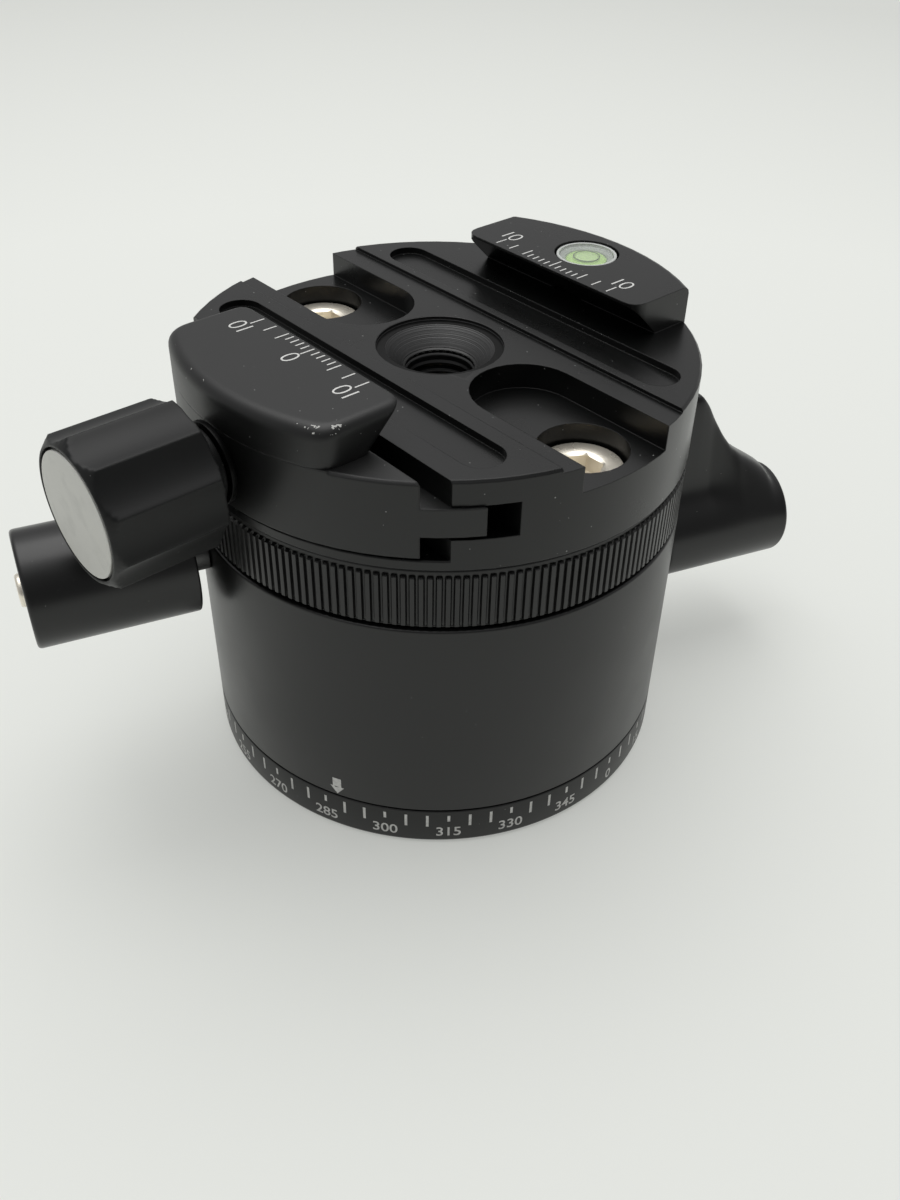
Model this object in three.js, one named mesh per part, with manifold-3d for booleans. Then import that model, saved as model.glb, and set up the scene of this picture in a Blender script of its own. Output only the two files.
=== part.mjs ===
// Panoramic rotator with a click-stop drum, a dial base and a dovetail clamp.
// Millimetres, +Z up. The origin is on the pan axis, in the plane that the base stands on.
// The clamp channel runs along Y, with the fixed jaw at +X and the movable jaw at -X.
import * as THREE from 'three';
import Module from 'manifold-3d';
import { mergeVertices } from 'three/addons/utils/BufferGeometryUtils.js';

const wasm = await Module();
wasm.setup();

// Clearances: between touching pieces, between moving ones, and past the end of a travel
const GAP = 0.3;
const RUN = 0.4;
const FREE = 1;
// How far a cut overruns a surface, how close two points weld, and the common edge chamfer
const CUT = 1;
const WELD = 1e-5;
const EDGE = 0.3;

// Facets round a circle
const ROUND = 72;
const MEDIUM = 30;
const SMALL = 16;
const TINY = 8;

// Travels of the moving pieces
const SELECT_TURN = Math.PI / 3;
const SELECT_TRAVEL = 3.6;
const JAW_CLOSING = 2.5;

// Tripod reducer, the bush round it and the post round that, from the inside out
const REDUCER_BORE_R = 3.2;
const REDUCER_WALL = 1.25;
const REDUCER_H = 9;
const REDUCER_SLOT_W = 1.4;
const REDUCER_SLOT_H = 1.6;
const BUSH_WALL = 1.25;
const BUSH_H = 11.1;
const POST_WALL = 2.4;
const POST_BORE_R = 5;
const POST_FLANGE_H = 3;
const SPIGOT_INSET = 0.6;
const REDUCER_R = REDUCER_BORE_R + REDUCER_WALL;
const BUSH_BORE_R = REDUCER_R + GAP;
const BUSH_R = BUSH_BORE_R + BUSH_WALL;
const BUSH_TOP = SPIGOT_INSET + BUSH_H;
const SPIGOT_R = BUSH_R + GAP + POST_WALL;
const POST_R = SPIGOT_R + GAP;
const ON_POST_R = POST_R + GAP;

// Spacer, pan bearing and nut on the post
const BASE_H = 5;
const SPACER_WALL = 1.5;
const SPACER_H = 14;
const INNER_RACE_WALL = 2.6;
const OUTER_RACE_WALL = 2.1;
const RACE_H = 3.4;
const CAGE_W = 1.1;
const CAGE_H = 1.2;
const CAGE_CLEAR = 0.45;
const BALL_PROUD = 0.3;
const BALL_COUNT = 8;
const NUT_H = 2.6;
const NUT_WALL = 2.9;
const NUT_SLOTS = 4;
const NUT_SLOT_W = 2.4;
const NUT_SLOT_DEPTH = 1.4;
const SPACER_R = ON_POST_R + SPACER_WALL;
const NUT_R = ON_POST_R + NUT_WALL;
const INNER_RACE_R = ON_POST_R + INNER_RACE_WALL;
const CAGE_BORE_R = INNER_RACE_R + CAGE_CLEAR;
const CAGE_R = CAGE_BORE_R + CAGE_W;
const BALL_R = CAGE_W / 2 + BALL_PROUD;
const OUTER_RACE_BORE_R = CAGE_R + CAGE_CLEAR;
const OUTER_RACE_R = OUTER_RACE_BORE_R + OUTER_RACE_WALL;
const FLANGE_BOTTOM = BASE_H + GAP;
const FLANGE_TOP = FLANGE_BOTTOM + POST_FLANGE_H;
const SPACER_BOTTOM = FLANGE_TOP + GAP;
const RACE_BOTTOM = SPACER_BOTTOM + SPACER_H + GAP;
const RACE_TOP = RACE_BOTTOM + RACE_H;
const NUT_BOTTOM = RACE_TOP + GAP;
const NUT_TOP = NUT_BOTTOM + NUT_H;

// Index drum, from its relief over the nut up through its click rows, its shoulder and its neck
const DRUM_WALL = 8.2;
const DRUM_R = ON_POST_R + DRUM_WALL;
const ROW_COUNTS = [24, 18];
const ROW_H = 2.8;
const ROW_DEPTH = 1.5;
const ROW_INSET = 0.85;
const ROW_ROOT_R = DRUM_R - ROW_DEPTH;
const NOTCH_DEPTH = 0.9;
const NOTCH_W = 2.2;
const SHOULDER_H = 1.4;
const SHOULDER_GAP = 1.15;
const DRUM_NECK_STEP = 2;
const COLLAR_LIP_H = 1.3;
const CLIP_H = 0.6;
const CLIP_W = 1.8;
const CLIP_PLAY = 0.2;
const CLIP_LAND = 0.4;
const CLIP_GROOVE_DEPTH = 0.6;
const CLIP_OPENING = Math.PI / 4;
const DRUM_BOTTOM = RACE_TOP + GAP + SELECT_TRAVEL + FREE;
const DRUM_RELIEF_R = NUT_R + RUN;
const DRUM_RELIEF_TOP = NUT_TOP + SELECT_TRAVEL + FREE;
const FIRST_ROW_Z = DRUM_BOTTOM + ROW_INSET + ROW_H / 2;
const LAST_ROW_Z = FIRST_ROW_Z + (ROW_COUNTS.length - 1) * SELECT_TRAVEL;
const SHOULDER_BOTTOM = LAST_ROW_Z + ROW_H / 2 + SHOULDER_GAP;
const DRUM_SHOULDER = SHOULDER_BOTTOM + SHOULDER_H;
const COLLAR_LIP_BOTTOM = DRUM_SHOULDER + GAP;
const COLLAR_LIP_TOP = COLLAR_LIP_BOTTOM + COLLAR_LIP_H;
const CLIP_BOTTOM = COLLAR_LIP_TOP + GAP;
const CLIP_TOP = CLIP_BOTTOM + CLIP_H;
const CLIP_GROOVE_BOTTOM = CLIP_BOTTOM - CLIP_PLAY;
const CLIP_GROOVE_TOP = CLIP_TOP + CLIP_PLAY;
const DRUM_TOP = CLIP_GROOVE_TOP + CLIP_LAND;
const DRUM_NECK_R = DRUM_R - DRUM_NECK_STEP;
const CLIP_GROOVE_R = DRUM_NECK_R - CLIP_GROOVE_DEPTH;
const CLIP_BORE_R = CLIP_GROOVE_R + GAP;
const KEY_W = 3;
const KEY_DEPTH = 1.4;
const KEY_INSET = 0.1;
const KEY_TURN = Math.PI / 2;
const KEY_INNER = POST_R - KEY_DEPTH;
const KEY_OUTER = ON_POST_R + KEY_DEPTH + GAP;
const KEY_TOP = DRUM_TOP - KEY_INSET;
const KEY_BOTTOM = NUT_TOP + KEY_DEPTH;

// Shift collar round the drum's neck, and its pegs
const COLLAR_H = 3.5;
const COLLAR_WALL = 2.3;
const COLLAR_BORE_R = DRUM_R + RUN;
const COLLAR_R = COLLAR_BORE_R + COLLAR_WALL;
const COLLAR_TOP = DRUM_TOP;
const COLLAR_BOTTOM = COLLAR_TOP - COLLAR_H;
const COLLAR_LIP_R = DRUM_NECK_R + RUN;
const PEG_R = 0.9;
const PEG_COUNT = 2;
const PEG_REACH = 1;
const PEG_Z = (COLLAR_TOP + COLLAR_BOTTOM) / 2;
const PEG_START = COLLAR_BORE_R + GAP;
const PEG_SLOT_W = 2 * (PEG_R + GAP);
const PEG_SLOT_BOTTOM = PEG_Z - SELECT_TRAVEL - PEG_SLOT_W / 2;

// Outer body: the walls from the collar out, and the height of each piece of its stack
const NECK_WALL = 8.3;
const RING_WALL = 2.35;
const RING_LIP_INSET = 0.45;
const NECK_BORE_R = COLLAR_R + RUN;
const NECK_R = NECK_BORE_R + NECK_WALL;
const RING_BORE_R = NECK_R + GAP;
const RING_LIP_R = RING_BORE_R + RING_WALL;
const BODY_R = RING_LIP_R + RING_LIP_INSET;
const PEG_END = RING_BORE_R + PEG_REACH;
const FOOT_H = 0.3;
const DIAL_H = 5.7;
const RING_H = 8.1;
const DECK_H = 11.4;
const JAW_H = 4.7;
const CLAMP_BOTTOM = DRUM_TOP + FREE;
const RING_TOP = CLAMP_BOTTOM - GAP;
const RING_BOTTOM = RING_TOP - RING_H;
const HOUSING_TOP = RING_BOTTOM - GAP;
const NECK_TOP = RING_TOP;
const POST_TOP = RING_TOP - 2 * GAP;
const DECK = CLAMP_BOTTOM + DECK_H;
const JAW_TOP = DECK + JAW_H;
const DIAL_BOTTOM = FOOT_H;
const DIAL_TOP = DIAL_BOTTOM + DIAL_H;
const HOUSING_BOTTOM = DIAL_TOP + GAP;

// Selector ring's knurl and the helical grooves for the pegs
const KNURL_COUNT = 200;
const KNURL_DEPTH = 0.42;
const KNURL_LAND_SHARE = 0.48;
const KNURL_LOWER_LIP = 0.25;
const KNURL_UPPER_LIP = 0.8;
const KNURL_ROOT_R = (RING_BORE_R + RING_LIP_R) / 2;
const GROOVE_DEPTH = PEG_REACH + RUN;
const GROOVE_STEPS = 8;

// Housing's web, and the dial ring and lock drum of the base inside it
const HOUSING_WALL = 4.1;
const HOUSING_BORE_R = BODY_R - HOUSING_WALL;
const WEB_LIP_H = 0.7;
const WEB_LIP_W = 1.1;
const WEB_BORE_R = OUTER_RACE_R + GAP;
const WEB_LIP_TOP = RACE_BOTTOM - GAP;
const WEB_BOTTOM = WEB_LIP_TOP - WEB_LIP_H;
const WEB_TOP = RACE_TOP + GAP;
const DIAL_WALL = 4.2;
const DIAL_BORE_R = BODY_R - DIAL_WALL;
const BASE_R = DIAL_BORE_R - GAP;
const BASE_BORE_R = SPIGOT_R + GAP;
const SHOE_ROOM = 7.4;
const LOCK_DRUM_WALL = 3.2;
const LOCK_DRUM_R = HOUSING_BORE_R - SHOE_ROOM;
const LOCK_DRUM_BORE_R = LOCK_DRUM_R - LOCK_DRUM_WALL;
const LOCK_DRUM_TOP = WEB_BOTTOM - 2 * GAP;
const POST_FLANGE_R = LOCK_DRUM_BORE_R - RUN;

// Screws that hold the post to the base plate
const POST_SCREW_COUNT = 3;
const POST_SCREW_HEAD_R = 2.6;
const POST_SCREW_HEAD_H = 3;
const POST_SCREW_R = 1.5;
const POST_SCREW_FLOOR = 1.5;
const POST_SCREW_HEX_R = 1.45;
const POST_SCREW_HEX_H = 1.6;
const POST_SCREW_START = Math.PI / 6;
const POST_SCREW_PITCH_R = (SPACER_R + LOCK_DRUM_BORE_R) / 2;

// Index plunger; its places are distances from the pan axis along its own axis
const PLUNGER_TURN = THREE.MathUtils.degToRad(162.3);
const PLUNGER_Z = FIRST_ROW_Z;
const PIN_R = 1.3;
const PIN_TIP_R = 0.5;
const PIN_TIP_L = 1;
const PIN_ROD_R = 1.2;
const PIN_COLLAR_L = 1.2;
const STEM_WALL = 0.5;
const SLEEVE_R = 4.6;
const SLEEVE_L = 11.7;
const SLEEVE_WALL = 1.3;
const CAP_PLUG_L = 1.4;
const CAP_FLANGE_L = 1;
const KNOB_STANDOFF = 2.35;
const KNOB_L = 20.05;
const KNOB_R = 7.42;
const KNOB_FACE_L = 4.5;
const KNOB_ROUND = 0.6;
const KNOB_ROUND_SHARE = 0.3;
const KNOB_INNER_ROUND = 0.35;
const PIN_IN_KNOB = 1.1;
const PIN_TIP_START = DRUM_R + GAP;
const STEM_BORE_R = PIN_R + GAP;
const STEM_R = STEM_BORE_R + STEM_WALL;
const STEM_START = NECK_BORE_R + GAP;
const SLEEVE_BORE_R = SLEEVE_R - SLEEVE_WALL;
const SLEEVE_START = BODY_R + 2 * GAP;
const SLEEVE_END = SLEEVE_START + SLEEVE_L;
const SLEEVE_FLOOR = SLEEVE_START + SLEEVE_WALL;
const PIN_COLLAR_R = SLEEVE_BORE_R - RUN;
const PIN_COLLAR_START = SLEEVE_FLOOR + GAP;
const PIN_COLLAR_END = PIN_COLLAR_START + PIN_COLLAR_L;
const CAP_PLUG_R = SLEEVE_BORE_R - GAP;
const CAP_BORE_R = PIN_ROD_R + GAP;
const CAP_FLANGE_START = SLEEVE_END + GAP;
const CAP_PLUG_START = CAP_FLANGE_START - CAP_PLUG_L;
const CAP_END = CAP_FLANGE_START + CAP_FLANGE_L;
const KNOB_START = BODY_R + KNOB_STANDOFF;
const KNOB_END = KNOB_START + KNOB_L;
const KNOB_BORE_R = SLEEVE_R + RUN;
const KNOB_BORE_END = KNOB_END - KNOB_FACE_L;
const KNOB_HOLE_R = PIN_ROD_R + RUN;
const PIN_ROD_END = KNOB_BORE_END + PIN_IN_KNOB;
const SPRING_WIRE_R = 0.32;
const SPRING_TURNS = 5;
const SPRING_R = (PIN_ROD_R + SLEEVE_BORE_R) / 2;
const SPRING_START = PIN_COLLAR_END + RUN;
const SPRING_END = CAP_PLUG_START - RUN;
const WIRE_SIDES = 4;
const WIRE_STEPS = 8;

// Button screw in the index knob's end
const BUTTON_R = 2.1;
const BUTTON_H = 0.85;
const BUTTON_SINK = 0.8;
const BUTTON_EDGE_SHARE = 0.92;
const BUTTON_CROWN_SHARE = 0.62;
const BUTTON_HEX_R = 1;
const BUTTON_HEX_H = 0.5;
const BUTTON_SEAT = KNOB_END - BUTTON_SINK;
const BUTTON_BOTTOM = BUTTON_SEAT + GAP;
const BUTTON_TOP = BUTTON_BOTTOM + BUTTON_H;
const BUTTON_SHANK_START = PIN_ROD_END + GAP;

// Lock lever on its own radial axis, with its screw, bush and shoe
const LEVER_TURN = THREE.MathUtils.degToRad(-18.6);
const SHOE_H = 5;
const SHOE_DROP = 0.55;
const LEVER_Z = WEB_BOTTOM - SHOE_DROP - SHOE_H / 2;
const LEVER_R = 7.1;
const LEVER_SIDES = 30;
const LEVER_STANDOFF = 2.4;
const LEVER_L = 20.7;
const LEVER_REACH = 22.5;
const LEVER_TIP_R = 3.1;
const LEVER_START = BODY_R + LEVER_STANDOFF;
const LEVER_END = LEVER_START + LEVER_L;
// Each section's place along the lever, its arm's reach and the shrink of its hub
const LEVER_SECTION_SHARES = [
  [0, 0.96, 0.07],
  [0.03, 1, 0],
  [0.28, 1, 0],
  [0.348, 0.92, 0],
  [0.406, 0.818, 0],
  [0.493, 0.689, 0],
  [0.57, 0.6, 0],
  [0.676, 0.524, 0],
  [0.802, 0.444, 0],
  [0.879, 0.391, 0],
  [0.928, 0.324, 0.042],
  [0.971, 0.28, 0.113],
  [1, 0.218, 0.31],
];
const STUD_R = 3;
const LEVER_FACE_L = 6.5;
const LEVER_BORE_R = STUD_R + GAP;
const LEVER_BORE_END = LEVER_END - LEVER_FACE_L;
const LEVER_SCREW_R = 2;
const LEVER_SCREW_L = 4.7;
const LEVER_SCREW_INSET = 0.4;
const LEVER_SCREW_HEX_R = 1.1;
const LEVER_SCREW_HEX_H = 1.2;
const LEVER_SCREW_END = LEVER_END - LEVER_SCREW_INSET;
const LEVER_SCREW_START = LEVER_SCREW_END - LEVER_SCREW_L;
const LOCK_BUSH_WALL = 0.9;
const LOCK_BUSH_INNER_L = 0.6;
const LOCK_BUSH_FLANGE_W = 1.5;
const LOCK_BUSH_FLANGE_L = 1.1;
const LOCK_BUSH_R = STUD_R + LOCK_BUSH_WALL;
const LOCK_BUSH_START = HOUSING_BORE_R - LOCK_BUSH_INNER_L;
const LOCK_BUSH_FLANGE_START = BODY_R + RUN;
const LOCK_BUSH_END = LOCK_BUSH_FLANGE_START + LOCK_BUSH_FLANGE_L;
const LOCK_BUSH_FLANGE_R = LOCK_BUSH_R + LOCK_BUSH_FLANGE_W;
const SHOE_L = 3.1;
const SHOE_W = 9;
const SHOE_SAG = 0.9;
const SHOE_PIP_R = 1.5;
const SHOE_PIP_L = 1.8;
const SHOE_FACE_R = LOCK_DRUM_R + RUN;
const SHOE_END = SHOE_FACE_R + SHOE_L;
const SHOE_PIP_END = SHOE_END + SHOE_PIP_L;
const STUD_START = SHOE_END + RUN;
const STUD_END = LEVER_BORE_END - RUN;
const STUD_BORE_R = SHOE_PIP_R + GAP;
const STUD_BORE_END = SHOE_PIP_END + 2 * RUN;

// Channel of the clamp: the jaws' faces, and the body's upper left face behind the movable jaw
const CHANNEL_W = 44.83;
const FIXED_ROOT_X = 22.2;
const JAW_LIP_H = 0.35;
const JAW_ROUND = 1;
const JAW_ROUND_STEPS = 3;
const JAW_HALF_W = 15.5;
const JAW_CORNER_R = 2.2;
const JAW_CORNER_STEPS = 4;
const JAW_DEPTH = 10.02;
const FIXED_LIP_X = FIXED_ROOT_X - (JAW_H - JAW_LIP_H);
const JAW_FACE_X = FIXED_ROOT_X - CHANNEL_W;
const JAW_LIP_X = JAW_FACE_X + (JAW_H - JAW_LIP_H);
const JAW_SHIFT = JAW_FACE_X - JAW_DEPTH + BODY_R;
const BODY_FACE_X = JAW_FACE_X + JAW_CLOSING + GAP;

// Movable jaw's tongue and its slot in the body
const TONGUE_L = 5.63;
const TONGUE_UNDER = 0.65;
const TONGUE_OVER = 0.1;
const SLOT_ROOF = 3.1;
const SLOT_H = 4.3;
const FLOOR_DROP = 2.75;
const JAW_FLOOR_GAP = 0.65;
const TONGUE_END_X = JAW_FACE_X + TONGUE_L;
const SLOT_END_X = TONGUE_END_X + JAW_CLOSING + FREE;
const SLOT_TOP = DECK - SLOT_ROOF;
const SLOT_BOTTOM = SLOT_TOP - SLOT_H;
const FLOOR_TOP = SLOT_BOTTOM - FLOOR_DROP;
const JAW_BOTTOM = FLOOR_TOP + JAW_FLOOR_GAP;
const TONGUE_BOTTOM = SLOT_BOTTOM + TONGUE_UNDER;
const TONGUE_TOP = SLOT_TOP - TONGUE_OVER;

// Deck: its band, relief grooves, countersink and screw pockets
const BAND_X0 = -9.25;
const BAND_X1 = 10.1;
const BAND_DEPTH = 0.5;
const BAND_Z = DECK - BAND_DEPTH;
const RELIEF_X = 14.05;
const RELIEF_R = 2.75;
const RELIEF_INSET = 5.75;
const RELIEF_DEPTH = 0.9;
const SINK_BORE_R = 4.35;
const SINK_CONE_W = 2.25;
const SINK_CONE_H = 2.3;
const SINK_RIM_W = 1.45;
const SINK_RIM_H = 0.65;
const SINK_STEP_R = SINK_BORE_R + SINK_CONE_W;
const SINK_R = SINK_STEP_R + SINK_RIM_W;
const SINK_STEP_Z = BAND_Z - SINK_RIM_H;
const SINK_BORE_Z = SINK_STEP_Z - SINK_CONE_H;
const POCKET_R = 6.7;
const POCKET_DEPTH = 3.7;
const POCKET_INSET = 9.4;
const POCKET_Z = DECK - POCKET_DEPTH;

// Screws that hold the clamp body to the housing
const CLAMP_SCREW_INSET = 4.1;
const CLAMP_SCREW_R = 3;
const CLAMP_SCREW_L = 16.9;
const CLAMP_SCREW_HEAD_R = 5;
const CLAMP_SCREW_HEAD_H = 3.6;
const CLAMP_SCREW_HEAD_EDGE = 0.4;
const CLAMP_SCREW_SEAT_H = 1.5;
const CLAMP_SCREW_HEX_R = 2.7;
const CLAMP_SCREW_HEX_H = 2.2;
const CLAMP_SCREW_Y = NECK_R - CLAMP_SCREW_INSET;
const POCKET_Y = CLAMP_SCREW_Y - POCKET_INSET;
const COUNTERBORE_R = CLAMP_SCREW_HEAD_R + RUN;
const COUNTERBORE_Z = CLAMP_BOTTOM + CLAMP_SCREW_SEAT_H;
const CLAMP_SCREW_HEAD_BOTTOM = COUNTERBORE_Z + GAP;
const CLAMP_SCREW_HEAD_TOP = CLAMP_SCREW_HEAD_BOTTOM + CLAMP_SCREW_HEAD_H;
const CLAMP_SCREW_END = CLAMP_SCREW_HEAD_BOTTOM - CLAMP_SCREW_L;

// Bubble level in the fixed jaw
const VIAL_FROM_LIP = 7.65;
const VIAL_R = 4;
const VIAL_WALL = 0.7;
const VIAL_INSET = 0.3;
const VIAL_H = 4.2;
const VIAL_LENS_H = 0.7;
const VIAL_X = FIXED_LIP_X + VIAL_FROM_LIP;
const VIAL_TOP = JAW_TOP - VIAL_INSET;
const VIAL_BOTTOM = VIAL_TOP - VIAL_H;
const VIAL_FLOOR = VIAL_BOTTOM + VIAL_WALL;
const VIAL_BORE_R = VIAL_R - VIAL_WALL;
const VIAL_FLUID_R = VIAL_BORE_R - GAP;
const VIAL_LENS_BOTTOM = VIAL_TOP - VIAL_LENS_H;

// Spindle and jaw springs
const SPINDLE_DROP = 4.4;
const SPINDLE_R = 2.5;
const SPINDLE_IN_BODY = 9.8;
const SPINDLE_Z = DECK - SPINDLE_DROP;
const SPINDLE_BORE_R = SPINDLE_R + GAP;
const SPINDLE_END = BODY_FACE_X + SPINDLE_IN_BODY;
const SPINDLE_BORE_END = SPINDLE_END + JAW_CLOSING + RUN;
const JAW_SPRING_Y = 9;
const JAW_SPRING_R = 0.9;
const JAW_SPRING_WIRE_R = 0.22;
const JAW_SPRING_TURNS = 6;
const SPRING_BORE_IN_TONGUE = 3.5;
const SPRING_BORE_IN_BODY = 3.9;
const JAW_SPRING_Z = (TONGUE_BOTTOM + TONGUE_TOP) / 2;
const SPRING_BORE_R = JAW_SPRING_R + JAW_SPRING_WIRE_R + GAP;
const SPRING_BORE_OUTER = TONGUE_END_X - SPRING_BORE_IN_TONGUE;
const SPRING_BORE_INNER = SLOT_END_X + SPRING_BORE_IN_BODY;
const JAW_SPRING_START = SPRING_BORE_OUTER + GAP;
const JAW_SPRING_END = SPRING_BORE_INNER - GAP;

// Clamp knob; its places are distances from the pan axis along the spindle
const WASHER_R = 5.6;
const WASHER_H = 0.7;
const BOSS_R = 4.6;
const BOSS_L = 2.25;
const FLUTED_R = 8.77;
const FLUTED_L = 13.3;
const FLUTED_EDGE = 1;
const FLUTED_BACK_EDGE = 0.5;
const FLUTE_COUNT = 10;
const FLUTE_R = 3;
const FLUTE_DEPTH = 0.85;
const FLUTE_TURN = THREE.MathUtils.degToRad(135.75);
const DISC_RIM_W = 1.31;
const DISC_H = 0.9;
const DISC_PROUD = 0.3;
const KNOB_WEB = 1.2;
const WASHER_START = BODY_R - JAW_SHIFT + RUN;
const WASHER_END = WASHER_START + WASHER_H;
const BOSS_START = WASHER_END + GAP;
const FLUTED_START = BOSS_START + BOSS_L;
const FLUTED_END = FLUTED_START + FLUTED_L;
const FLUTE_PITCH_R = FLUTED_R + FLUTE_R - FLUTE_DEPTH;
const DISC_SEAT_R = FLUTED_R - DISC_RIM_W;
const DISC_R = DISC_SEAT_R - GAP;
const DISC_END = FLUTED_END + DISC_PROUD;
const DISC_START = DISC_END - DISC_H;
const DISC_SEAT_START = DISC_START - GAP;
const KNOB_SPINDLE_BORE_END = DISC_SEAT_START - KNOB_WEB;
const SPINDLE_START = -(KNOB_SPINDLE_BORE_END - GAP);

function solid(geometry) {
  const source = geometry.clone();
  source.deleteAttribute('normal');
  source.deleteAttribute('uv');
  const merged = mergeVertices(source, WELD);
  return new wasm.Manifold(new wasm.Mesh({
    numProp: 3,
    vertProperties: new Float32Array(merged.attributes.position.array),
    triVerts: new Uint32Array(merged.index.array),
  }));
}

function surface(body) {
  const mesh = body.getMesh();
  const geometry = new THREE.BufferGeometry();
  geometry.setAttribute('position', new THREE.BufferAttribute(mesh.vertProperties, mesh.numProp));
  geometry.setIndex(new THREE.BufferAttribute(mesh.triVerts, 1));
  geometry.computeVertexNormals();
  return geometry;
}

function joined(bodies) {
  return bodies.reduce((all, next) => all.add(next));
}

function degrees(angle) {
  return THREE.MathUtils.radToDeg(angle);
}

// Evenly spaced angles round a circle
function turns(count, start = 0) {
  return Array.from({ length: count }, (_, i) => start + (2 * Math.PI * i) / count);
}

function polar(radius, angle) {
  return new THREE.Vector2(radius * Math.cos(angle), radius * Math.sin(angle));
}

// Turns [radius, height] pairs about Z; the outline runs up the outside and back down the inside
function turned(points, segments = ROUND) {
  const outline = points.map(([r, z]) => new THREE.Vector2(r, z));
  outline.push(outline[0].clone());
  const geometry = new THREE.LatheGeometry(outline, segments);
  geometry.rotateX(Math.PI / 2);
  return solid(geometry);
}

function ringOf(inner, outer, bottom, top, segments = ROUND) {
  return turned([[outer, bottom], [outer, top], [inner, top], [inner, bottom]], segments);
}

function rodOf(radius, bottom, top, segments = SMALL) {
  const geometry = new THREE.CylinderGeometry(radius, radius, top - bottom, segments);
  geometry.rotateX(Math.PI / 2);
  geometry.translate(0, 0, (top + bottom) / 2);
  return solid(geometry);
}

function hexagon(radius, bottom, top) {
  return rodOf(radius, bottom, top, 6);
}

function block(x0, x1, y0, y1, z0, z1) {
  const geometry = new THREE.BoxGeometry(x1 - x0, y1 - y0, z1 - z0);
  geometry.translate((x0 + x1) / 2, (y0 + y1) / 2, (z0 + z1) / 2);
  return solid(geometry);
}

// Extrudes a plan outline up Z
function plan(shape, bottom, top, curveSegments = TINY) {
  const geometry = new THREE.ExtrudeGeometry(shape, {
    depth: top - bottom,
    bevelEnabled: false,
    curveSegments,
  });
  geometry.translate(0, 0, bottom);
  return solid(geometry);
}

// Extrudes an [x, z] outline along Y, to the same distance both ways
function profile(points, halfWidth) {
  const shape = new THREE.Shape(points.map(([x, z]) => new THREE.Vector2(x, z)));
  const geometry = new THREE.ExtrudeGeometry(shape, { depth: 2 * halfWidth, bevelEnabled: false });
  geometry.rotateX(Math.PI / 2);
  geometry.translate(0, halfWidth, 0);
  return solid(geometry);
}

// Skins rows of points into one closed body; every row runs anticlockwise as seen from the last row
function skinned(rows) {
  const sides = rows[0].length;
  const faces = [];
  for (let row = 0; row + 1 < rows.length; row += 1) {
    for (let i = 0; i < sides; i += 1) {
      const low = row * sides + i;
      const next = row * sides + ((i + 1) % sides);
      faces.push(low, next, next + sides, low, next + sides, low + sides);
    }
  }
  const last = (rows.length - 1) * sides;
  for (let i = 1; i + 1 < sides; i += 1) {
    faces.push(0, i + 1, i, last, last + i, last + i + 1);
  }
  const geometry = new THREE.BufferGeometry();
  geometry.setAttribute('position', new THREE.Float32BufferAttribute(rows.flat(2), 3));
  geometry.setIndex(faces);
  return solid(geometry);
}

// Lays a Z solid along a radial axis at a height, so that its Z becomes the distance from the pan axis
function laid(body, turn, height) {
  return body.rotate([0, 90, 0]).rotate([0, 0, degrees(turn)]).translate([0, 0, height]);
}

function standing(body, radius, turn, height = 0) {
  const place = polar(radius, turn);
  return body.translate([place.x, place.y, height]);
}

// A wire coil along Z, between two heights
function coil(radius, wire, bottom, top, turnCount) {
  const steps = turnCount * WIRE_STEPS;
  const points = [];
  for (let i = 0; i <= steps; i += 1) {
    const share = i / steps;
    const at = polar(radius, 2 * Math.PI * turnCount * share);
    points.push(new THREE.Vector3(at.x, at.y, bottom + wire + (top - bottom - 2 * wire) * share));
  }
  const section = new THREE.Shape(turns(WIRE_SIDES).map((angle) => polar(wire, angle)));
  const extrudePath = new THREE.CatmullRomCurve3(points);
  return solid(new THREE.ExtrudeGeometry(section, { steps, extrudePath, bevelEnabled: false }));
}

function basePlate() {
  const body = turned([
    [BASE_R - EDGE, 0],
    [BASE_R, EDGE],
    [BASE_R, BASE_H],
    [LOCK_DRUM_R, BASE_H],
    [LOCK_DRUM_R, LOCK_DRUM_TOP],
    [LOCK_DRUM_BORE_R, LOCK_DRUM_TOP],
    [LOCK_DRUM_BORE_R, BASE_H],
    [BASE_BORE_R, BASE_H],
    [BASE_BORE_R, 0],
  ], MEDIUM);
  return body.subtract(postScrewHoles(POST_SCREW_FLOOR - GAP, BASE_H + CUT));
}

function postScrewHoles(bottom, top) {
  const holes = turns(POST_SCREW_COUNT, POST_SCREW_START).map((turn) => (
    standing(rodOf(POST_SCREW_R + GAP, bottom, top, TINY), POST_SCREW_PITCH_R, turn)
  ));
  return joined(holes);
}

function dialRing() {
  const body = turned([
    [BODY_R - EDGE, DIAL_BOTTOM],
    [BODY_R, DIAL_BOTTOM + EDGE],
    [BODY_R, DIAL_TOP - EDGE],
    [BODY_R - EDGE, DIAL_TOP],
    [0, DIAL_TOP],
    [0, DIAL_BOTTOM],
  ]);
  return body.subtract(rodOf(DIAL_BORE_R, DIAL_BOTTOM - CUT, DIAL_TOP + CUT, MEDIUM));
}

function centerPost() {
  const body = turned([
    [SPIGOT_R, SPIGOT_INSET],
    [SPIGOT_R, FLANGE_BOTTOM],
    [POST_FLANGE_R, FLANGE_BOTTOM],
    [POST_FLANGE_R, FLANGE_TOP],
    [POST_R, FLANGE_TOP],
    [POST_R, POST_TOP],
    [POST_BORE_R, POST_TOP],
    [POST_BORE_R, BUSH_TOP + GAP],
    [BUSH_R + GAP, BUSH_TOP + GAP],
    [BUSH_R + GAP, SPIGOT_INSET],
  ], MEDIUM);
  const halfW = KEY_W / 2 + GAP;
  const slot = block(KEY_INNER - GAP, KEY_OUTER, -halfW, halfW, KEY_BOTTOM - GAP, POST_TOP + CUT);
  return body
    .subtract(postScrewHoles(BASE_H, FLANGE_TOP + CUT))
    .subtract(slot.rotate([0, 0, degrees(KEY_TURN)]));
}

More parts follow.
